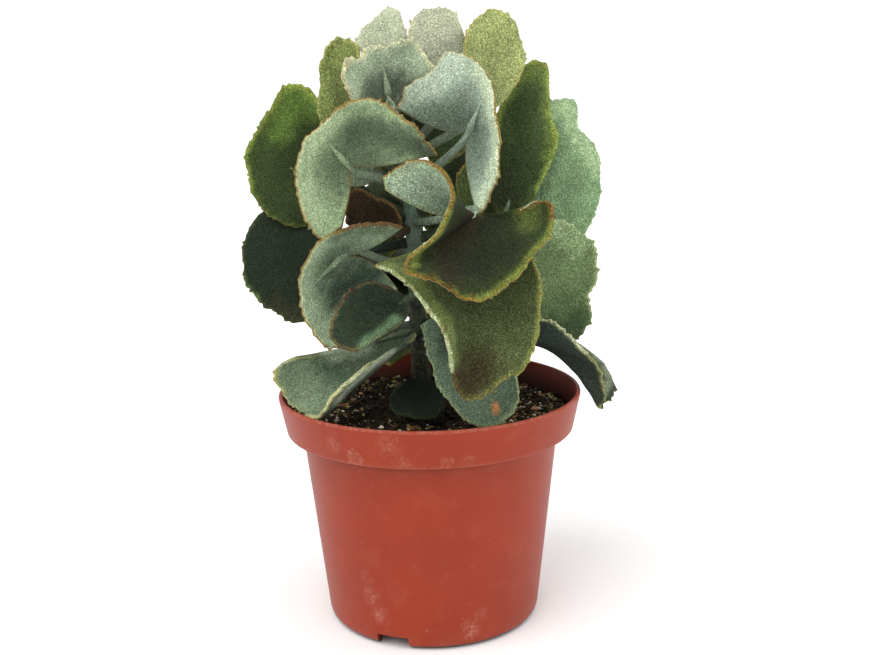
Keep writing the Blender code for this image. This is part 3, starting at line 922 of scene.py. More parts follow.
        # Painted shade towards the blade's base
        shade = shade * (1.0 - skin.depth * smoothstep(out, 0.9, 0.15))
        tone = ground * shade[..., None]
        rim_noise = 0.5 + 0.5 * soft_noise(points, 7.0, self.seed + 2)
        width = skin.edge_width * (0.55 + 0.8 * rim_noise)
        near = smoothstep(to_edge, 0.6, 0.1) * 0.55 + 0.3 * smoothstep(to_edge / width, 1.6, 0.3)
        near = np.clip(near, 0, 1)
        rusty = skin.rust_share * smoothstep(
            np.sin(travel * 2 * pi / self.leaf.pitch + self.seed) + 1.6 * rim_noise, 0.5, 1.7)
        rusty = np.maximum(rusty, 1.3 * skin.rust_share * smoothstep(to_edge, 0.45, 0.1))
        rusty = np.clip(rusty, 0, 1)
        tone = blend(tone, blend(tone_of(skin.edge), tone_of(skin.rust), rusty), near)
        # Washes: painted shade and painted light on the blade, and rust and gold along its edge
        for wash in self.leaf.washes:
            if wash.side not in (side, Side.BOTH):
                continue
            far = distance_to_line(points, self.leaf.trace(wash.line)) / wash.width
            far = far + 0.14 * soft_noise(points, 6.0, self.seed + 3)
            share = wash.strength * smoothstep(far, 1.0, 1.0 - wash.soft)
            tone = blend(tone, tone_of(wash.tone), share)
        return np.clip(tone, 0, 1)

    def stalk(self, shape: Shape, stem: Stem, upper: np.ndarray, lower: np.ndarray) -> None:
        """Add the stalk, which runs on into the blade as its midrib.

        Args:
            shape: Shape of the leaf.
            stem: Stem that the stalk grows from.
            upper: Upper skin.
            lower: Lower skin.
        """
        leaf = self.leaf
        base = np.array(leaf.base, float)
        start = stem.point(leaf.node)
        level = unit(np.array((base[0] - start[0], base[1] - start[1], 0.0)))
        foot = start + level * (stem.radius(leaf.node) - 0.6)
        reach = float(np.linalg.norm(base - foot))
        middle = foot + level * reach * 0.35 + np.array((0, 0, (base[2] - foot[2]) * 0.35))
        half = len(upper) // 2
        onward = unit((upper[half, -4] + lower[half, -4]) / 2 - base)
        bend = base - onward * min(4.0, reach * 0.3)
        outer = smooth_line((tuple(base), tuple(bend), tuple(middle), tuple(foot)), 36)
        rings = len(lower[half])
        along = [int(rings * share) for share in (0.45, 0.62, 0.8)]
        sunk = unit(lower[half][along] - upper[half][along])
        keel = lower[half][along] + sunk * np.array([[0.05], [0.3], [0.6]])
        line = smooth_line(tuple(map(tuple, np.vstack((keel, outer[::6])))), 60)
        share = np.linspace(0, 1, len(line))
        radii = 0.35 + 1.15 * smoothstep(share, 0.0, 0.3) + 0.35 * smoothstep(share, 0.5, 0.9)
        radii = radii + 0.6 * smoothstep(share, 0.93, 1.0)
        points, faces = tube_parts(line, radii, self.stalk_sides, self.stalk_flat,
                                   np.array(leaf.face, float))
        runs = np.append(np.repeat(share, self.stalk_sides), (0.0, 1.0))
        down = smoothstep(runs, 0.2, 0.5)[:, None]
        blade_tone, stalk_tone = tone_of(leaf.skin.lower), tone_of(STALK_SILVER)
        silver = 0.5 if leaf.slot is Slot.SILVER else 0.12
        tone = blade_tone + (stalk_tone - blade_tone) * silver * down
        # Painted shade: the stalk darkens towards the stem and lower down the plant
        near_stem = np.linalg.norm(points[:, :2] - start[:2], axis=1)
        shaded = 0.2 + 0.45 * smoothstep(near_stem, 4.0, 24.0)
        shaded = shaded * (0.35 + 0.65 * smoothstep(points[:, 2], 100.0, 165.0))
        paint = tone * (1 - down * (1 - shaded[:, None])) * (0.8 + 0.2 * down)
        shape.add(points, faces, paint)

    def build(self, stem: Stem, material: bpy.types.Material) -> bpy.types.Object:
        """Build the leaf's skin and stalk.

        Args:
            stem: Stem that the leaf grows from.
            material: Its felt.

        Returns:
            The leaf.
        """
        upper, lower, to_edge, travel = self.skins()
        spokes, rings = to_edge.shape
        shape = Shape()
        paint_up = self.tones(upper, to_edge, travel, Side.UPPER).reshape(-1, 3)
        paint_low = self.tones(lower, to_edge, travel, Side.LOWER).reshape(-1, 3)
        number = np.arange(spokes * rings).reshape(spokes, rings)
        under = number + spokes * rings
        under[:, 0] = number[:, 0]
        under[0] = number[0]
        under[-1] = number[-1]
        seam = np.zeros((spokes, rings), bool)
        seam[:, 0] = seam[0] = seam[-1] = True
        both = (upper + lower) / 2
        upper = np.where(seam[..., None], both, upper)
        base = np.array(self.leaf.base, float)
        pole = 2 * spokes * rings
        faces = []
        for i in range(spokes - 1):
            for j in range(rings - 1):
                faces.append((number[i, j], number[i + 1, j], number[i + 1, j + 1],
                              number[i, j + 1]))
                faces.append((under[i, j], under[i, j + 1], under[i + 1, j + 1],
                              under[i + 1, j]))
            faces.append((number[i, -1], number[i + 1, -1], pole))
            faces.append((under[i + 1, -1], under[i, -1], pole))
        points = np.vstack((upper.reshape(-1, 3), lower.reshape(-1, 3), base[None, :]))
        paint = np.vstack((paint_up, paint_low, paint_low[-1:]))
        used = np.unique(np.concatenate((number.ravel(), under.ravel(), (pole,))))
        renumber = np.zeros(len(points), int)
        renumber[used] = np.arange(len(used))
        faces = [tuple(renumber[list(face)]) for face in faces]
        shape.add(points[used], faces, paint[used])
        self.stalk(shape, stem, upper, lower)
        made = shape.piece(self.name + "_felt", material, self.leaf.slot, "felt_tone")
        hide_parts(self.name)
        return made


GOLD, RUST = "#9C8F48", "#7A4A20"
# Leaves at the back: dark tones, as painted shade for leaves in the plant's shade
BACK = Skin("#3C4A2A", "#46543C", "#8A8F4A", 1.3, RUST, 0.3)

# Dark washes inside a blade are painted shade, pale ones painted light
LEAVES: dict[str, Leaf] = {
    "leaf_left_upper": Leaf(
        Slot.SILVER,
        Skin("#4A6038", "#98AD86", GOLD, 1.2, RUST, 0.5, 0.6),
        172, (-29, -10, 182), (-0.3, 0.9, 0.3), 2.0,
        ((5, -22, 185), (-3, -26, 196), (-13, -26, 204), (-23, -24, 206), (-35, -24, 199),
         (-45, -24, 188), (-47, -24, 177), (-45, -22, 165), (-39, -20, 155),
         (-31, -17, 159)),
        washes=(Wash("#3C4A38", ((0.02, 0.95), (0.12, 0.75), (0.3, 0.5)), 11, 0.75, Side.LOWER),
                Wash("#B4C49C", ((0.45, 0.9), (0.85, 0.85)), 8, 0.6, Side.LOWER)), lobe=0.12),
    "leaf_right_upper": Leaf(
        Slot.SILVER,
        Skin("#4A6038", "#A4B7A0", GOLD, 1.2, RUST, 0.4, 0.6),
        174, (17, -7, 193), (0.2, 0.9, 0.3), 2.0,
        ((-10, -12, 202), (-4, -14, 211), (5, -14, 217), (9, -14, 222), (18, -16, 220),
         (24, -18, 213), (26, -20, 202), (28, -21, 187), (25, -22, 172), (19, -19, 162)),
        washes=(Wash("#D0DEBC", ((0.42, 0.92), (0.95, 0.92)), 6.5, 0.75, Side.LOWER),
                Wash("#BDCAB4", ((0.1, 0.85), (0.3, 0.85)), 8, 0.6, Side.LOWER),
                Wash("#56624F", ((0.0, 0.7), (0.08, 0.3)), 10, 0.65, Side.LOWER)), lobe=0.12),
    "leaf_front_folded": Leaf(
        Slot.OLIVE,
        Skin("#293317", "#96A88E", "#7E8638", 2.2, RUST, 0.6, 0.55),
        158, (18, -26, 164), (0.0, -0.4, 0.9), 1.2,
        ((-14, -33, 174), (-14, -35, 179), (-7, -38, 184), (1, -41, 185), (7, -46, 181),
         (9, -51, 173), (4, -58, 162), (-7, -66, 151), (6, -67, 145), (17, -68, 140),
         (27, -65, 144), (37, -57, 153), (45, -47, 163), (43, -42, 170), (30, -34, 163)),
        washes=(Wash("#251D0F", ((0.46, 0.1), (0.52, 0.9)), 9, 0.85, Side.UPPER),
                Wash("#6F7A38", ((0.28, 0.95), (0.44, 0.9)), 3.5, 0.75),
                Wash("#1A2010", ((0.55, 0.65), (0.72, 0.7)), 12, 0.8, Side.UPPER),
                Wash("#55622C", ((0.84, 0.7), (0.9, 0.7)), 8, 0.55, Side.UPPER),
                Wash("#6E7F38", ((0.6, 1.0), (0.84, 1.0)), 3.4, 0.5, Side.UPPER),
                Wash("#6E4A22", ((0.86, 1.0), (0.97, 1.0)), 1.8, 0.55)), lobe=0.1),
    "leaf_front_drooping": Leaf(
        Slot.OLIVE,
        Skin("#474F2F", "#8A987C", "#858C44", 1.8, RUST, 0.4, 0.2),
        146, (14, -32, 156), (0.0, -0.75, 0.65), 2.0,
        ((-18, -50, 150), (-10, -56, 147), (0, -62, 137), (7, -66, 125), (9, -66, 112),
         (14, -64, 104), (25, -64, 110), (35, -61, 117), (39, -57, 131), (40, -52, 144),
         (37, -44, 153)),
        washes=(Wash("#1E2514", ((0.05, 0.3), (0.8, 0.3), (1.0, 0.55)), 11, 0.85),
                Wash("#2C200F", ((0.42, 0.95), (0.52, 0.85)), 13, 0.8),
                Wash("#75854A", ((0.04, 0.92), (0.3, 0.88), (0.38, 0.92)), 5.5, 0.6),
                Wash("#A3AF88", ((0.02, 1.0), (0.38, 1.0)), 1.4, 0.8),
                Wash("#7C8644", ((0.62, 1.0), (0.95, 1.0)), 2.2, 0.4)), lobe=0.1),
    "leaf_left_lower": Leaf(
        Slot.SILVER,
        Skin("#40543A", "#90A483", GOLD, 1.1, RUST, 0.4, 0.6),
        142, (-32, -15, 148), (-0.3, 0.85, 0.3), 2.0,
        ((-8, -17, 159), (-18, -21, 161), (-29, -24, 160), (-40, -27, 154), (-46, -28, 143),
         (-46, -29, 131), (-41, -30, 120), (-35, -27, 115), (-26, -21, 120), (-17, -14, 129),
         (-11, -9, 134)),
        washes=(Wash("#26352E", ((0.76, 0.55), (0.97, 0.6)), 12, 0.85, Side.LOWER),
                Wash("#A6BA98", ((0.28, 0.9), (0.66, 0.9)), 7, 0.65, Side.LOWER),
                Wash("#4E5E48", ((0.02, 0.85), (0.24, 0.85)), 6, 0.7, Side.LOWER),
                Wash("#5E4226", ((0.0, 1.0), (0.22, 1.0)), 2.0, 0.9)), lobe=0.14),
    "leaf_left_outer_high": Leaf(
        Slot.OLIVE,
        Skin("#2E3C1A", "#5E6E50", "#7A8A38", 2.4, RUST, 0.6, 0.55),
        161, (-37, 8, 179), (-0.3, -0.85, 0.4), 2.0,
        ((-38, 10, 201), (-46, 16, 210), (-53, 20, 212), (-59, 24, 206), (-66, 28, 196),
         (-73, 30, 185), (-72, 28, 174), (-68, 22, 164), (-58, 16, 157), (-47, 12, 156)),
        washes=(Wash("#56702E", ((0.1, 0.85), (0.38, 0.75)), 10, 0.6),
                Wash("#7F9240", ((0.05, 1.0), (0.7, 1.0)), 3.6, 0.6),
                Wash("#222C16", ((0.8, 0.8), (0.98, 0.8)), 9, 0.5))),
    # Dark as painted shade: this leaf hangs in the plant's shade
    "leaf_left_outer_low": Leaf(
        Slot.DARK,
        Skin("#1B2517", "#38483A", "#556638", 1.4, "#5A4A26", 0.3, 0.2),
        150, (-41, 4, 143), (-0.3, -0.85, 0.4), 2.0,
        ((-53, 20, 159), (-63, 28, 162), (-72, 28, 155), (-75, 20, 143), (-72, 10, 132),
         (-64, 2, 126), (-54, -4, 121), (-45, -6, 121)),
        washes=(Wash("#66783F", ((0.3, 1.0), (0.7, 1.0)), 2.2, 0.5),
                Wash("#2E2C19", ((0.78, 0.9), (0.98, 0.9)), 6, 0.6))),
    "leaf_right_tall": Leaf(
        Slot.OLIVE,
        Skin("#364422", "#5E6E50", "#838F3A", 2.6, RUST, 0.6, 0.6),
        152, (30, -2, 160), (0.2, -0.9, 0.2), 2.0,
        ((25, 0, 167), (25, 6, 183), (30, 16, 202), (39, 28, 216), (49, 30, 218),
         (50, 22, 200), (53, 16, 189), (47, 8, 175), (42, 3, 166), (36, -1, 160)),
        washes=(Wash("#68793A", ((0.36, 0.92), (0.8, 0.96)), 6.0, 0.5),
                Wash("#8A9A44", ((0.2, 1.0), (0.5, 1.0), (0.9, 1.0)), 3.4, 0.6),
                Wash("#1F2814", ((0.0, 0.7), (0.18, 0.85)), 9, 0.7),
                Wash("#6A5428", ((0.5, 1.0),), 4, 0.6))),
    "leaf_right_outer_high": Leaf(
        Slot.GREEN,
        Skin("#6A835E", "#7F9274", "#A0B080", 1.2, "#8A8A50", 0.2, 0.2),
        146, (45, 7, 157), (0.3, -0.9, 0.2), 2.0,
        ((42, 12, 169), (43, 22, 186), (50, 34, 202), (62, 36, 202), (62, 32, 192),
         (70, 30, 184), (71, 24, 172), (69, 16, 161), (63, 9, 151)),
        washes=(Wash("#9DB488", ((0.3, 0.92), (0.7, 0.9)), 8, 0.65),
                Wash("#34492F", ((0.0, 0.9), (0.2, 0.8)), 8, 0.6))),
    "leaf_right_outer_low": Leaf(
        Slot.GREEN,
        Skin("#62754F", "#6F8468", "#8FA070", 1.2, "#8A8A50", 0.2, 0.2),
        132, (39, -2, 134), (0.3, -0.9, 0.2), 2.0,
        ((40, 0, 154), (49, 4, 158), (58, 2, 155), (65, -4, 148), (66, -8, 137),
         (63, -9, 131), (63, -8, 120), (59, -6, 112), (52, -6, 110)),
        washes=(Wash("#8CA076", ((0.08, 0.88), (0.35, 0.88)), 8, 0.6),
                Wash("#2C3A26", ((0.8, 0.9), (1.0, 0.8)), 9, 0.6),
                Wash("#EEF3E6", ((0.42, 0.72),), 0.7, 1.0))),
    "leaf_inner_left": Leaf(
        Slot.GREEN,
        Skin("#303C2D", "#55624E", "#6B6A44", 1.0, "#5A4228", 0.5, 0.3),
        126, (-8, -17, 131), (-0.1, -0.7, 0.6), 1.5,
        ((-13, -19, 136), (-22, -27, 140), (-29, -34, 137), (-34, -38, 129), (-34, -40, 120),
         (-28, -40, 117), (-19, -35, 121), (-10, -26, 124)),
        washes=(Wash("#3E3020", ((0.0, 1.0), (0.4, 1.0)), 1.3, 0.7),
                Wash("#6E8A66", ((0.72, 0.92), (0.9, 0.6)), 4, 0.75))),
    "leaf_over_rim_left": Leaf(
        Slot.SILVER,
        Skin("#66765C", "#4C5A46", "#9AA374", 1.2, "#8A8450", 0.3, 0.35),
        112, (-5, -10, 117), (-0.2, -0.7, 0.6), 1.5,
        ((-13, -9, 116), (-29, -14, 111), (-43, -18, 110), (-54, -20, 109), (-59, -21, 104),
         (-56, -22, 97), (-50, -28, 92), (-42, -36, 91), (-36, -38, 99), (-27, -34, 107),
         (-14, -22, 113)),
        washes=(Wash("#AEBBA0", ((0.12, 0.9), (0.3, 0.8)), 5, 0.7),
                Wash("#3A4838", ((0.4, 0.7), (0.55, 0.6)), 6, 0.5),
                Wash("#B6C2A8", ((0.72, 0.88), (0.96, 0.88)), 5.5, 0.8),
                Wash("#B9B783", ((0.62, 1.0), (0.98, 1.0)), 1.5, 0.8),
                Wash("#A39A50", ((0.4, 1.0), (0.48, 1.0)), 2, 0.6))),
    "leaf_over_rim_right": Leaf(
        Slot.DARK,
        Skin("#38433A", "#222B20", "#7F8A5C", 1.2, "#8A7A48", 0.3, 0.1),
        106, (34, 0, 108.5), (0.2, 0.0, -1.0), 2.5,
        ((39, -10, 120), (45, -14, 122), (52, -16, 118), (58, -15, 111), (66, -10, 101),
         (70, -3, 89), (69, 1, 81), (75, 7, 88), (72, 10, 96), (64, 12, 103),
         (54, 12, 108)),
        washes=(Wash("#B9BE98", ((0.0, 1.0), (0.28, 1.0)), 1.4, 0.75),
                Wash("#8E9A80", ((0.66, 0.95), (0.95, 0.95)), 4, 0.6))),
    "leaf_low_front": Leaf(
        Slot.GREEN,
        Skin("#54634F", "#5A6A55", "#8A9A70", 1.2, "#8A7A48", 0.2, 0.1),
        118, (15, -16, 122), (0.1, -0.85, 0.5), 1.5,
        ((5, -14, 123), (-2, -16, 121), (0, -25, 111), (4, -36, 101), (16, -47, 90),
         (23, -48, 90), (30, -45, 93), (33, -39, 99), (32, -30, 110)),
        washes=(Wash("#1F2A20", ((0.05, 0.35), (0.9, 0.4)), 12, 0.8),
                Wash("#7F8F68", ((0.04, 1.0), (0.45, 1.0)), 1.1, 0.65),
                Wash("#B47842", ((0.7, 0.84), (0.7, 0.9)), 2.6, 1.0)), lobe=0.0),
    # Near black as painted shade: this leaf lies in the plant's shade on the soil
    "leaf_on_soil": Leaf(
        Slot.DARK,
        Skin("#10170E", "#18200F", "#28331C", 1.0, "#2E2A18", 0.2, 0.2),
        98, (-4, -16, 99), (0.0, -0.4, 0.9), 1.5,
        ((-11, -20, 99), (-15, -26, 95), (-13, -33, 91), (-5, -37, 90), (3, -36, 90),
         (6, -30, 95), (3, -22, 99))),
    "leaf_inner_brown": Leaf(
        Slot.BROWN,
        Skin("#33281A", "#5E5238", "#6B5630", 1.2, "#5A3A1C", 0.4, 0.3),
        156, (-12, -3, 155), (-0.1, -0.8, 0.5), 1.5,
        ((-9, -4, 160), (-13, -5, 166), (-20, -6, 170), (-26, -7, 172), (-30, -8, 168),
         (-30, -8, 161), (-26, -7, 156), (-18, -5, 152))),
    "leaf_inner_green": Leaf(
        Slot.GREEN,
        Skin("#6D7B62", "#7A8A70", "#8A8450", 1.0, RUST, 0.2, 0.3),
        167, (-18, 1.6, 177), (-0.1, -0.8, 0.5), 1.5,
        ((-19, 1, 181), (-25, 1, 183), (-30, 1, 182), (-32, 1, 178), (-30, 0, 173),
         (-24, 0, 173))),
    "leaf_inner_olive": Leaf(
        Slot.OLIVE,
        Skin("#3F4A26", "#5A6A44", "#8A8440", 1.2, RUST, 0.4, 0.3),
        163, (16, -6, 163), (0.1, -0.8, 0.5), 1.5,
        ((13, -5, 165), (12, -4, 174), (14, -3, 180), (19, -2, 183), (23, -2, 180),
         (23, -3, 171))),
    "leaf_top_left_point": Leaf(
        Slot.SILVER,
        Skin("#A9B094", "#A9B094", "#C9C898", 1.6, "#A98B4C", 0.25, 0.3),
        183, (-14, 8, 218), (-0.1, -0.9, 0.4), 1.5,
        ((-22, 10, 221), (-26, 15, 228), (-20, 22, 234), (-13, 28, 240), (-8, 24, 235),
         (-6, 17, 228), (-8, 11, 221)), tooth=1.5, pitch=5.5, ripple=1.6),
    "leaf_top_centre": Leaf(
        Slot.SILVER,
        Skin("#A2A78D", "#A9B094", "#C4C290", 1.6, "#A98B4C", 0.25, 0.35),
        187, (9, 5, 213), (0.0, -0.9, 0.4), 1.5,
        ((-1, 6, 217), (-5, 12, 231), (-1, 18, 238), (6, 20, 240), (12, 18, 237),
         (18, 14, 225), (21, 11, 219)), tooth=1.5, pitch=5.5, ripple=1.6),
    "leaf_top_right": Leaf(
        Slot.OLIVE,
        Skin("#87905A", "#93A383", "#A9A65A", 1.4, "#8A6A30", 0.3, 0.35),
        183, (21, 0, 201), (0.1, -0.9, 0.4), 1.5,
        ((17, 1, 211), (17, 6, 225), (19, 12, 233), (24, 16, 237), (31, 20, 238),
         (37, 18, 231), (40, 14, 220), (37, 9, 212), (31, 3, 204)),
        tooth=1.3, pitch=5.0, ripple=1.2),
    "leaf_top_cup": Leaf(
        Slot.SILVER,
        Skin("#5E7350", "#93A185", "#CCC89C", 1.7, "#9A8450", 0.25, 0.45),
        190, (-12, 2, 200), (0.0, 0.9, 0.3), 1.5,
        ((-26, -10, 203), (-29, -12, 212), (-28, -9, 220), (-21, -4, 221), (-20, -1, 226),
         (-13, 0, 225), (-4, 3, 228), (0, 2, 222), (6, -1, 217), (5, -1, 209)),
        tooth=1.7, pitch=6.5, ripple=1.4,
        washes=(Wash("#3E473A", ((0.0, 0.45), (1.0, 0.45)), 8, 0.7),
                Wash("#C9C79B", ((0.1, 1.0), (0.9, 1.0)), 1.6, 0.75)), lobe=0.1),
    "leaf_top_left_small": Leaf(
        Slot.OLIVE,
        Skin("#66703E", "#78855C", "#A9A962", 1.8, "#8A6A30", 0.2, 0.35),
        177, (-29, -1, 195), (-0.2, -0.9, 0.3), 1.5,
        ((-39, 2, 196), (-41, 5, 203), (-40, 8, 212), (-39, 12, 221), (-35, 16, 227),
         (-29, 14, 229), (-25, 8, 225), (-23, 2, 213)), tooth=1.3, pitch=5.0, ripple=1.2),
}


@dataclass(frozen=True)
class BackLeaf:
    """A leaf at the back, which follows one growth rule instead of its own outline.

    Angles are degrees: azimuth from +X, and tilt of the tip above level. Reach and lift
    place the blade's base from the stem, and droop is how far the tip's edge sinks.
    """

    slot: Slot
    skin: Skin
    node: float
    azimuth: float
    reach: float
    lift: float
    length: float
    half_width: float
    tilt: float
    droop: float
    spread: float = 150.0
    fuller: float = 5.0         # how much wider the felt makes the blade, all round

    def plan(self, stem: Stem) -> Leaf:
        """Work out the base and the edge.

        Args:
            stem: Stem that the leaf grows from.

        Returns:
            The leaf's plan.
        """
        angle, tilt = radians(self.azimuth), radians(self.tilt)
        out = np.array((cos(angle), sin(angle), 0.0))
        side = np.array((-sin(angle), cos(angle), 0.0))
        up = np.array((0.0, 0.0, 1.0))
        ahead = out * cos(tilt) + up * sin(tilt)
        face = up * cos(tilt) - out * sin(tilt)
        base = stem.point(self.node) + out * self.reach + up * self.lift
        rim = []
        for turn in np.radians(np.linspace(-self.spread, self.spread, 9)):
            size = self.fuller + self.half_width + (self.length - self.half_width) * (
                (1 + cos(turn)) / 2) ** 2
            sink = self.droop * (size / self.length) ** 2
            rim.append(tuple(base + (ahead * cos(turn) + side * sin(turn)) * size - face * sink))
        return Leaf(self.slot, self.skin, self.node, tuple(base), tuple(face), 2.0, tuple(rim),
                    grain=1.5, lobe=0.0)


BACK_LEAVES: dict[str, BackLeaf] = {
    "leaf_back_top": BackLeaf(Slot.SILVER, BACK, 186, 75, 15, 8, 32, 16, 60, 6),
    "leaf_back_left_high": BackLeaf(Slot.OLIVE, BACK, 176, 125, 30, 2, 36, 20, 45, 8),
    "leaf_back_right_high": BackLeaf(Slot.OLIVE, BACK, 166, 48, 28, 4, 36, 18, 50, 8),
    "leaf_back_middle": BackLeaf(Slot.OLIVE, BACK, 154, 88, 30, 2, 34, 19, 40, 8),
    "leaf_back_left_low": BackLeaf(Slot.SILVER, BACK, 137, 126, 32, 1, 38, 19, 25, 8),
    "leaf_back_right_low": BackLeaf(Slot.GREEN, BACK, 128, 38, 32, 4, 36, 19, 30, 8),
    "leaf_back_centre_low": BackLeaf(Slot.DARK, BACK, 118, 108, 26, 6, 38, 20, 30, 8),
    "leaf_back_over_rim": BackLeaf(Slot.GREEN, BACK, 103, 80, 20, 3, 43, 19, 10, 8),
}


@dataclass
class Foliage:
    """All leaves, and the felts that they share with the growing tip."""

    stem: Stem
    felts: dict[Slot, bpy.types.Material] = field(default_factory=dict)

    def plans(self) -> dict[str, Leaf]:
        """Plans of all leaves by node name."""
        return {**LEAVES, **{name: leaf.plan(self.stem) for name, leaf in BACK_LEAVES.items()}}

    def felt(self, slot: Slot) -> bpy.types.Material:
        """Felt of a slot, made once."""
        if slot not in self.felts:
            self.felts[slot] = FELTS[slot].material()
        return self.felts[slot]

    def build(self) -> list[bpy.types.Object]:
        """Build every leaf.

        Returns:
            The leaves.
        """
        made = []
        for number, (name, leaf) in enumerate(self.plans().items()):
            made.append(Blade(name, leaf, 0.7 + number * 1.37).build(self.stem,
                                                                     self.felt(leaf.slot)))
            log.info("%s: %d faces", made[-1].name, len(made[-1].data.polygons))
        return made


@dataclass
class ShootTip:
    """Growing tip: a bud of folded leaflets that stand close together."""

    stem: Stem
    leaflets: int = 4
    height: float = 10.0
    tone: str = "#A4B294"
    lean: Point = (-2.6, -2.8, 10.0)

    def build(self, material: bpy.types.Material) -> bpy.types.Object:
        """Build the bud.

        Args:
            material: Its felt.

        Returns:
            The bud.
        """
        shape = Shape()
        top = np.array(self.stem.line[-1], float)
        lean = unit(np.array(self.lean))
        tone = tone_of(self.tone)
        for i in range(self.leaflets):
            angle = 2 * pi * i / self.leaflets + 0.5
            out = unit(np.array((cos(angle), sin(angle), 0.0)))
            out = unit(out - lean * (out @ lean))
            tall = self.height * (1.0 - 0.12 * i)
            line = smooth_line((tuple(top - lean + out * 0.4),
                                tuple(top + lean * tall * 0.35 + out * 1.1),
                                tuple(top + lean * tall * 0.75 + out * 1.2),
                                tuple(top + lean * tall + out * 0.3)), 24)
            share = np.linspace(0, 1, len(line))
            radii = 0.5 + 1.7 * np.sin(pi * np.clip(share * 0.95 + 0.08, 0, 1)) ** 0.8
            points, faces = tube_parts(line, radii, 16, 0.38, out)
            points = points + 0.12 * soft_noise(points, 3.0)[:, None]
            paint = np.tile(tone, (len(points), 1))
            paint = paint * (0.85 + 0.3 * np.clip((points[:, 2:3] - top[2]) / self.height, 0, 1))
            shape.add(points, faces, paint)
        tip = shape.piece("shoot_tip_leaflets", material, Slot.SILVER, "felt_tone")
        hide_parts("shoot_tip")
        return tip


# ---------------------------------------------------------------------------
# Pot and soil
# ---------------------------------------------------------------------------


@dataclass(frozen=True)
class LimeMark:
    """A dried water mark on the pot: a ring or a smear round a centre on its wall."""

    azimuth: float
    height: float
    radius: float
    strength: float
    ring: bool = False


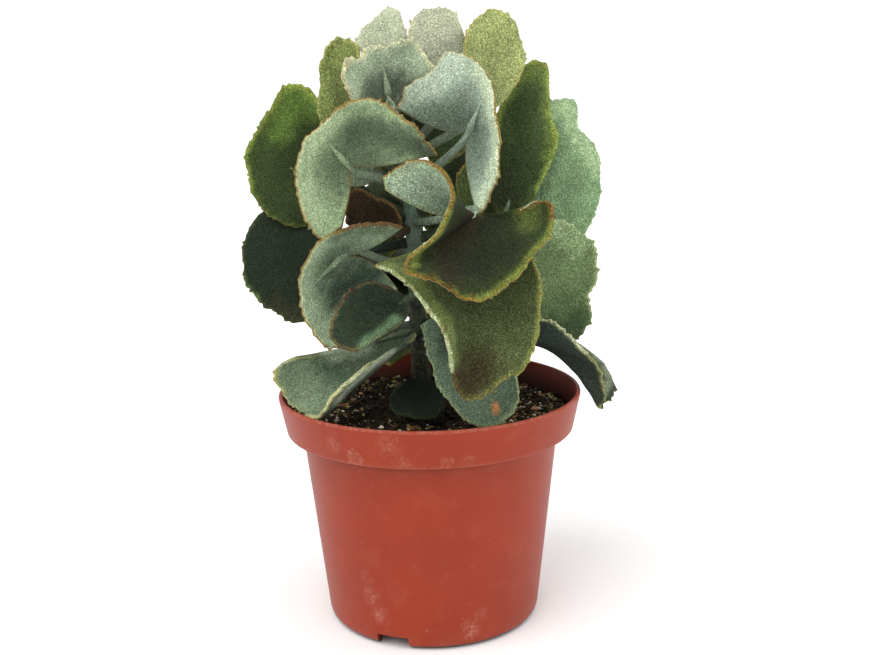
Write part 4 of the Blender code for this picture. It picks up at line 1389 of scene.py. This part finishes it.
@dataclass
class NurseryPot:
    """Tapered pot with a rim band, a rounded foot, three foot notches and drain holes."""

    rim_radius: float = 60.0
    rim_height: float = 92.1
    band_radius: float = 57.0
    band_height: float = 77.0
    body_radius: float = 50.8
    base_radius: float = 42.6
    wall: float = 1.4
    foot_width: float = 2.4
    floor: float = 5.0
    notch_width: float = 13.0
    notch_height: float = 4.5
    notches: tuple[float, ...] = (-112.0, 8.0, 128.0)
    drain_radius: float = 3.5
    drain_circle: float = 24.0
    drains: int = 4
    drain_sides: int = 48
    notch_round: float = 0.7
    crease_angle: float = 40.0
    sides: int = 320
    marks: tuple[LimeMark, ...] = (
        LimeMark(-118, 80.1, 2.8, 0.55, True), LimeMark(-127, 84.0, 3.4, 0.30),
        LimeMark(-84, 79.3, 2.2, 0.45, True), LimeMark(-76, 79.4, 2.4, 0.35, True),
        LimeMark(-99, 78.6, 3.4, 0.32), LimeMark(-104, 86.5, 5.0, 0.22),
        LimeMark(-72, 72.2, 4.2, 0.55), LimeMark(-80, 73.0, 4.0, 0.40),
        LimeMark(-92, 74.0, 3.6, 0.38), LimeMark(-60, 72.6, 3.6, 0.30),
        LimeMark(-120, 66.0, 3.8, 0.40), LimeMark(-126, 58.0, 3.0, 0.34),
        LimeMark(-117, 56.5, 3.0, 0.30, True), LimeMark(-101, 38.5, 2.6, 0.36),
        LimeMark(-98, 34.0, 3.4, 0.22), LimeMark(-122, 20.0, 4.6, 0.36),
        LimeMark(-118, 13.0, 4.0, 0.40), LimeMark(-124, 28.0, 3.6, 0.22),
        LimeMark(-71, 7.0, 4.4, 0.46), LimeMark(-66, 13.0, 3.2, 0.26),
        LimeMark(-40, 62.0, 3.6, 0.26), LimeMark(-31, 54.0, 4.2, 0.24),
        LimeMark(-83, 53.0, 0.7, 0.80), LimeMark(-83, 46.0, 0.9, 0.80),
        LimeMark(60, 60.0, 6.0, 0.30), LimeMark(150, 40.0, 7.0, 0.28),
        LimeMark(100, 20.0, 6.0, 0.34), LimeMark(20, 82.0, 4.0, 0.34, True))

    def outline(self) -> list[tuple[float, float, float]]:
        """Corners of the turned profile: radius, height and rounding."""
        inner_base = self.base_radius - self.wall
        foot = self.base_radius - 1.8
        return [
            (self.rim_radius - 0.35, self.rim_height, 0.5),
            (self.rim_radius, self.rim_height - 0.9, 0.35),
            (self.band_radius, self.band_height, 0.75),
            (self.body_radius + 0.2, self.band_height, 0.5),
            (self.base_radius + 0.1, 1.6, 2.4),
            (foot, 0.0, 0.9),
            (foot - self.foot_width, 0.0, 0.4),
            (foot - self.foot_width - 0.4, self.floor, 0.6),
            (0.0, self.floor, 0.0),
            (0.0, self.floor + self.wall, 0.0),
            (inner_base - 0.2, self.floor + self.wall, 1.4),
            (self.body_radius - self.wall, self.band_height + 0.4, 0.6),
            (self.band_radius - self.wall, self.band_height + self.wall + 0.6, 0.8),
            (self.rim_radius - self.wall, self.rim_height, 0.45),
        ]

    def profile(self) -> np.ndarray:
        """Round the corners and divide the long runs.

        Returns:
            Rows of radius and height, from the outer lip round to the inner one.
        """
        corners = self.outline()
        rows = []
        for i, (radius, height, rounding) in enumerate(corners):
            here = np.array((radius, height))
            before = np.array(corners[i - 1][:2])
            after = np.array(corners[(i + 1) % len(corners)][:2])
            if rounding == 0.0:
                rows.append(here)
                continue
            back = here + (before - here) * min(rounding / np.linalg.norm(before - here), 0.45)
            on = here + (after - here) * min(rounding / np.linalg.norm(after - here), 0.45)
            for t in np.linspace(0, 1, 7):
                rows.append((1 - t) ** 2 * back + 2 * t * (1 - t) * here + t ** 2 * on)
        rows.append(rows[0])
        fine = []
        for start, end in zip(rows, rows[1:]):
            cuts = max(int(np.linalg.norm(end - start) / 1.1), 1)
            fine += [start + (end - start) * k / cuts for k in range(cuts)]
        return np.array(fine)

    def turned(self) -> tuple[np.ndarray, list]:
        """Spin the profile, with a pole wherever it meets the axis.

        Returns:
            The points, and the faces by corner number.
        """
        turn = 2 * pi * np.arange(self.sides) / self.sides
        points, rings = [], []
        count = 0
        for radius, height in self.profile():
            on_axis = radius < 0.01
            ring = np.array([[0.0, 0.0, height]]) if on_axis else ring_points(
                radius, height, turn)
            rings.append((count, on_axis))
            points.append(ring)
            count += len(ring)
        faces = []
        for (a, a_pole), (b, b_pole) in zip(rings, rings[1:] + rings[:1]):
            if a_pole and b_pole:
                continue
            for j in range(self.sides):
                k = (j + 1) % self.sides
                if a_pole:
                    faces.append((a, b + j, b + k))
                elif b_pole:
                    faces.append((a + k, a + j, b))
                else:
                    faces.append((a + j, b + j, b + k, a + k))
        return np.vstack(points), faces

    def cutters(self) -> list[bpy.types.Object]:
        """Blocks for the notches and posts for the drain holes."""
        tools = []
        for i, angle in enumerate(self.notches):
            depth = self.foot_width + 6
            middle = self.base_radius - depth / 2 + 2
            bpy.ops.mesh.primitive_cube_add(size=1.0)
            tool = bpy.context.active_object
            tool.name = f"notch_tool_{i}"
            tool.scale = Vector((depth, self.notch_width, 2 * self.notch_height)) * MM
            tool.rotation_euler = (0, 0, radians(angle))
            tool.location = Vector((middle * cos(radians(angle)), middle * sin(radians(angle)),
                                    0.0)) * MM
            soft = tool.modifiers.new("corner_round", "BEVEL")
            soft.width, soft.segments = self.notch_round * MM, 3
            tools.append(tool)
        for i in range(self.drains):
            angle = 2 * pi * (i + 0.5) / self.drains
            bpy.ops.mesh.primitive_cylinder_add(
                vertices=self.drain_sides, radius=self.drain_radius * MM, depth=8 * self.wall * MM,
                location=(self.drain_circle * cos(angle) * MM,
                          self.drain_circle * sin(angle) * MM, self.floor * MM))
            tools.append(bpy.context.active_object)
        return tools

    def lime(self, points: np.ndarray) -> np.ndarray:
        """Strength of the lime, the dust and the painted light at points of the wall.

        Args:
            points: Points in millimetres.

        Returns:
            One value per point: above 0 for lime, dust and painted highlight,
            below 0 for painted shade.
        """
        total = np.zeros(len(points))
        outer = np.hypot(points[:, 0], points[:, 1])
        outside = smoothstep(outer, self.base_radius - 4.0, self.base_radius - 2.0)
        for mark in self.marks:
            radius = self.base_radius + (self.rim_radius - self.base_radius) * mark.height / (
                self.rim_height)
            turn = radians(mark.azimuth)
            centre = np.array((radius * cos(turn), radius * sin(turn), mark.height))
            gap = points - centre
            gap[:, 2] *= 0.9
            reach = np.linalg.norm(gap, axis=1) / mark.radius
            reach = reach + 0.25 * soft_noise(points, 4.0, mark.height)
            if mark.ring:
                amount = np.exp(-((reach - 0.85) / 0.16) ** 2) + 0.25 * smoothstep(reach, 0.9, 0.4)
            else:
                amount = smoothstep(reach, 1.25, 0.2)
            total = np.maximum(total, amount * mark.strength)
        under_band = 0.22 * np.exp(-((points[:, 2] - self.band_height + 2.5) / 2.2) ** 2)
        foot_dust = 0.16 * smoothstep(points[:, 2], 9.0, 0.5)
        swirl = 0.5 + 0.5 * soft_noise(points, 13.0, 2.0)
        # Painted highlights: pale lines on the lip's top and on the band's lower edge, laid in the
        # lime tone
        painted_edge_highlights = (0.30 * smoothstep(points[:, 2], self.rim_height - 1.3, self.rim_height - 0.7)
                 + 0.22 * np.exp(-((points[:, 2] - self.band_height - 0.4) / 0.4) ** 2)
                 * smoothstep(outer, self.band_radius - 1.0, self.band_radius))
        pale = np.clip(np.maximum(total, (under_band + foot_dust) * swirl), 0, 1)
        # Painted shadow in the step under the band
        painted_step_shadow = (0.8 * np.exp(-((points[:, 2] - self.band_height + 0.6) / 1.7) ** 2)
                      * smoothstep(outer, self.band_radius, self.band_radius - 2.5))
        # Painted shade: the inner wall darkens from the rim down
        inside = smoothstep(outer, self.rim_radius - 0.9, self.rim_radius - 1.3)
        inside = inside * smoothstep(points[:, 2], self.rim_height - 0.3, self.rim_height - 9.0)
        inner_wall = outer < self.wall_line(points[:, 2]) - 0.6 * self.wall
        return np.where(inner_wall, -0.85 * inside,
                        (np.maximum(pale, painted_edge_highlights) - painted_step_shadow) * outside)

    def wall_line(self, height: np.ndarray) -> np.ndarray:
        """Outer radius of the wall at a height."""
        rows = [(0.0, self.base_radius), (self.band_height, self.body_radius),
                (self.band_height + 0.01, self.band_radius), (self.rim_height, self.rim_radius)]
        return np.interp(height, [row[0] for row in rows], [row[1] for row in rows])

    def build(self) -> bpy.types.Object:
        """Build the pot.

        Returns:
            The pot.
        """
        points, faces = self.turned()
        shape = Shape()
        shape.add(points, faces, np.zeros(len(points)))
        pot = shape.piece("nursery_pot", MouldedPolypropylene().material(), Slot.POT,
                          "lime_dust_and_painted_light")
        tools = self.cutters()
        for tool in tools:
            cut = pot.modifiers.new(tool.name, "BOOLEAN")
            cut.operation = "DIFFERENCE"
            cut.object = tool
        bpy.context.view_layer.update()
        graph = bpy.context.evaluated_depsgraph_get()
        whole = bpy.data.meshes.new_from_object(pot.evaluated_get(graph))
        pot.modifiers.clear()
        pot.data = whole
        for tool in tools:
            bpy.data.objects.remove(tool, do_unlink=True)
        rows = np.zeros(len(whole.vertices) * 3, np.float32)
        whole.vertices.foreach_get("co", rows)
        marks = self.lime(rows.reshape(-1, 3).astype(float) / MM)
        whole.attributes["lime_dust_and_painted_light"].data.foreach_set("value", marks.astype(np.float32))
        whole.set_sharp_from_angle(angle=radians(self.crease_angle))
        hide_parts("pot")
        return pot


@dataclass(frozen=True)
class GrainKind:
    """One kind of loose grain: how many, how big, how flat and how long each is."""

    name: str
    finish: LooseBits
    count: int
    smallest: float
    largest: float
    flat: float
    long: float
    seed: int
    edge_pull: float = 0.5     # 0.5 is even over the soil, less gathers grains at the rim


# A rough ball of twenty triangles, which every loose grain starts from
BALL_CORNERS = np.array([
    (0, 0, 1), (0.94, 0, 0.33), (0.3, 0.9, 0.33), (-0.76, 0.55, 0.33), (-0.76, -0.55, 0.33),
    (0.3, -0.9, 0.33), (0.76, 0.55, -0.4), (-0.3, 0.9, -0.4), (-0.94, 0, -0.4),
    (-0.3, -0.9, -0.4), (0.76, -0.55, -0.4), (0, 0, -1)])
BALL_FACES = [
    (0, 1, 2), (0, 2, 3), (0, 3, 4), (0, 4, 5), (0, 5, 1), (1, 6, 2), (2, 7, 3), (3, 8, 4),
    (4, 9, 5), (5, 10, 1), (6, 7, 2), (7, 8, 3), (8, 9, 4), (9, 10, 5), (10, 6, 1),
    (6, 11, 7), (7, 11, 8), (8, 11, 9), (9, 11, 10), (10, 11, 6)]


@dataclass
class PottingSoil:
    """Peat mix: a lumpy bed with crumbs, grit, bark, moss scraps and fibres on top."""

    edge_height: float = 82.0
    edge_radius: float = 55.4
    mound: float = 3.0
    lump: float = 0.7
    bed_sides: int = 240
    bed_rings: int = 70
    skirt: tuple[tuple[float, float], ...] = (
        (0.3, 6.8), (20.0, 6.8), (39.0, 6.8), (40.6, 9.0), (49.0, 76.0), (55.0, 80.4))
    fibre_count: int = 45
    fibre_seed: int = 21
    grains: tuple[GrainKind, ...] = (
        GrainKind("peat_crumbs", PEAT, 2600, 0.7, 2.6, 0.75, 1.3, 11),
        GrainKind("pumice_grit", GRIT, 480, 0.5, 1.8, 0.8, 1.2, 12, 0.22),
        GrainKind("bark_chips", BARK, 420, 0.9, 3.0, 0.35, 1.8, 13, 0.25),
        GrainKind("moss_scraps", MOSS, 420, 0.7, 2.2, 0.6, 1.4, 14, 0.22))

    def height(self, x: np.ndarray, y: np.ndarray) -> np.ndarray:
        """Height of the soil's surface."""
        out = np.hypot(x, y) / 57.0
        lumps = np.sin(0.31 * x + 1.0) * np.cos(0.27 * y - 0.4) + 0.6 * np.sin(
            0.53 * x - 0.41 * y)
        flat = np.stack((x, y, np.zeros_like(x)), axis=-1)
        fine = 0.45 * soft_noise(flat, 7.0) + 0.3 * soft_noise(flat, 3.1, 2.0)
        return (self.edge_height + self.mound * (1 - out ** 2)
                + self.lump * lumps * (1 - out) + fine)

    def bed(self) -> bpy.types.Object:
        """Build the bed that fills the pot.

        Returns:
            The bed.
        """
        sides, rows = self.bed_sides, len(self.skirt) + self.bed_rings
        turn = 2 * pi * np.arange(sides) / sides
        radii = self.edge_radius * np.sqrt(np.linspace(1.0, 0.0004, self.bed_rings))
        x = radii[:, None] * np.cos(turn)
        y = radii[:, None] * np.sin(turn)
        top = np.stack((x, y, self.height(x, y)), axis=-1)
        skirt = [ring_points(radius, height, turn) for radius, height in self.skirt]
        points = np.vstack(skirt + [top.reshape(-1, 3)])
        faces = grid_faces(rows, sides, closed=True)
        last = (rows - 1) * sides
        faces.append(tuple(range(sides - 1, -1, -1)))
        faces.append(tuple(range(last, last + sides)))
        shape = Shape()
        shape.add(points, faces, 0.35 + 0.25 * soft_noise(points, 9.0))
        bed = shape.piece("peat_bed", PEAT.material(), Slot.SOIL, "grain_shade")
        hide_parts("soil")
        return bed

    def scatter(self, kind: GrainKind) -> bpy.types.Object:
        """Strew one kind of grain over the bed as one piece.

        Args:
            kind: The grain.

        Returns:
            The grains.
        """
        rng = np.random.default_rng(kind.seed)
        shape = Shape()
        for _ in range(kind.count):
            radius = (self.edge_radius - 1.2) * rng.random() ** kind.edge_pull
            turn = rng.random() * 2 * pi
            x, y = radius * cos(turn), radius * sin(turn)
            size = kind.smallest + (kind.largest - kind.smallest) * rng.random() ** 2.2
            rough = BALL_CORNERS * (1 + rng.uniform(-0.28, 0.28, BALL_CORNERS.shape))
            rough = rough * np.array((kind.long, 1.0, kind.flat)) * size / 2
            spin = np.array(Matrix.Rotation(rng.random() * 2 * pi, 3, "Z"))
            tip = np.array(Matrix.Rotation(rng.uniform(-0.7, 0.7), 3, "X"))
            z = float(self.height(np.array(x), np.array(y))) + size * kind.flat * 0.28
            place = np.array((x, y, z))
            shape.add(rough @ tip.T @ spin.T + place, BALL_FACES,
                      np.full(len(BALL_CORNERS), rng.random()))
        made = shape.piece(kind.name, kind.finish.material(), Slot.SOIL, "grain_shade")
        made.data.shade_flat()
        return made

    def fibres(self) -> bpy.types.Object:
        """Strew short curved fibres over the bed."""
        rng = np.random.default_rng(self.fibre_seed)
        shape = Shape()
        for _ in range(self.fibre_count):
            radius = (self.edge_radius - 4) * rng.random() ** 0.4
            turn = rng.random() * 2 * pi
            length = rng.uniform(3.0, 9.0)
            heading = rng.random() * 2 * pi
            steps = np.linspace(-0.5, 0.5, 5) * length
            bow = rng.uniform(-0.2, 0.2) * length * (1 - (2 * steps / length) ** 2)
            x = radius * cos(turn) + steps * cos(heading) - bow * sin(heading)
            y = radius * sin(turn) + steps * sin(heading) + bow * cos(heading)
            inside = np.minimum(1.0, (self.edge_radius - 1) / np.maximum(np.hypot(x, y), 1))
            x, y = x * inside, y * inside
            z = self.height(x, y) + 0.9 + rng.uniform(0, 0.6, 5)
            line = smooth_line(tuple(zip(x, y, z)), 12)
            radii = np.full(13, rng.uniform(0.10, 0.2))
            points, faces = tube_parts(line, radii, 6)
            shape.add(points, faces, np.full(len(points), rng.random()))
        return shape.piece("coir_fibres", FIBRE.material(), Slot.SOIL, "grain_shade")

    def build(self) -> list[bpy.types.Object]:
        """Build the bed and everything that lies on it."""
        return [self.bed(), *[self.scatter(kind) for kind in self.grains], self.fibres()]


# ---------------------------------------------------------------------------
# Studio
# ---------------------------------------------------------------------------


@dataclass
class Studio:
    """Pale sweep, soft lamps round the plant, and the camera."""

    target: Point = (3.5, 0.0, 116.4)
    distance: float = 460.0
    elevation: float = 0.2132
    roll: float = -0.0208
    lens: float = 47.9
    sensor: float = 36.0
    wall_glow: float = 1.05
    room_glow: float = 0.36
    glow_low: float = 0.10      # sine of the angle at which the wall's glow starts to fade
    glow_high: float = 0.24
    lamps: tuple[tuple[str, Point, float, float], ...] = (
        ("key_left", (-0.5, -0.45, 0.85), 2.2, 60),
        ("fill_right", (0.75, -0.4, 0.7), 1.45, 90),
        ("top_back", (0.1, 0.5, 0.9), 0.9, 90))
    paper_size: float = 8.0     # metres
    paper_gap: float = 0.0005   # metres below the pot's foot, so that the two never touch

    def floor(self) -> None:
        """Lay the paper floor."""
        bpy.ops.mesh.primitive_grid_add(x_subdivisions=8, y_subdivisions=8,
                                        size=self.paper_size,
                                        location=(0, 0, -self.paper_gap))
        floor = bpy.context.active_object
        floor.name = "paper_sweep"
        floor.data.materials.append(MattPaper().material())

    def lamp(self, name: str, towards: Point, power: float, spread: float) -> None:
        """Hang one large soft lamp, far enough away to light everything evenly.

        Args:
            name: Name of the lamp.
            towards: Direction from the plant to the lamp.
            power: Strength of its light.
            spread: Width of the lamp as an angle in degrees.
        """
        light = bpy.data.lights.new(name, "SUN")
        light.energy, light.angle = power, radians(spread)
        lamp = bpy.data.objects.new(name, light)
        bpy.context.collection.objects.link(lamp)
        lamp.rotation_euler = Vector(towards).to_track_quat("Z", "Y").to_euler()

    def sky(self) -> None:
        """Fill the room with pale light, brightest along the white wall at eye level."""
        world = bpy.data.worlds.new("pale_room")
        world.use_nodes = True
        tree = world.node_tree
        ways = add_node(tree, "TexCoord", {}, "Generated")
        level = add_node(tree, "SeparateXYZ", (ways,), "Z")
        off = add_node(tree, "Math", (level,), operation="ABSOLUTE")
        glow = add_node(tree, "MapRange", (off, self.glow_low, self.glow_high,
                                           self.wall_glow, self.room_glow))
        tree.links.new(glow, tree.nodes["Background"].inputs["Strength"])
        tree.nodes["Background"].inputs["Color"].default_value = (1.0, 1.0, 1.0, 1.0)
        bpy.context.scene.world = world

    def camera(self) -> None:
        """Place the camera."""
        tilt = self.elevation
        back = Vector((0, -cos(tilt), sin(tilt)))
        up = Vector((0, sin(tilt), cos(tilt)))
        right = Vector((1, 0, 0))
        side = right * cos(self.roll) + up * sin(self.roll)
        top = up * cos(self.roll) - right * sin(self.roll)
        data = bpy.data.cameras.new("view")
        data.lens, data.sensor_width = self.lens, self.sensor
        data.clip_start, data.clip_end = 0.01, 50.0
        camera = bpy.data.objects.new("view", data)
        bpy.context.collection.objects.link(camera)
        place = (Vector(self.target) + back * self.distance) * MM
        turned = Matrix((side, top, back)).transposed().to_4x4()
        camera.matrix_world = Matrix.Translation(place) @ turned
        bpy.context.scene.camera = camera

    def build(self) -> None:
        """Set up the floor, the lamps and the camera."""
        self.floor()
        self.sky()
        for lamp in self.lamps:
            self.lamp(*lamp)
        self.camera()


def main() -> None:
    """Load the frame, build every piece over it and set up the studio."""
    logging.basicConfig(level=logging.INFO, format="%(message)s")
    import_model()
    bpy.context.scene.view_settings.view_transform = "Standard"
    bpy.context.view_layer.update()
    stem = Stem()
    foliage = Foliage(stem)
    heights = [leaf.node for leaf in foliage.plans().values()]
    low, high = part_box("pot")
    pot = NurseryPot(rim_radius=(high[0] - low[0]) / 2 / MM, rim_height=(high[2] - low[2]) / MM)
    pieces = [pot.build(), *PottingSoil().build(), stem.build(heights),
              ShootTip(stem).build(foliage.felt(Slot.SILVER)), *foliage.build()]
    for piece in pieces:
        log.info("%s rides on %s", piece.name, BODY)
    Studio().build()
    bpy.context.view_layer.update()


if __name__ == "__main__":
    main()
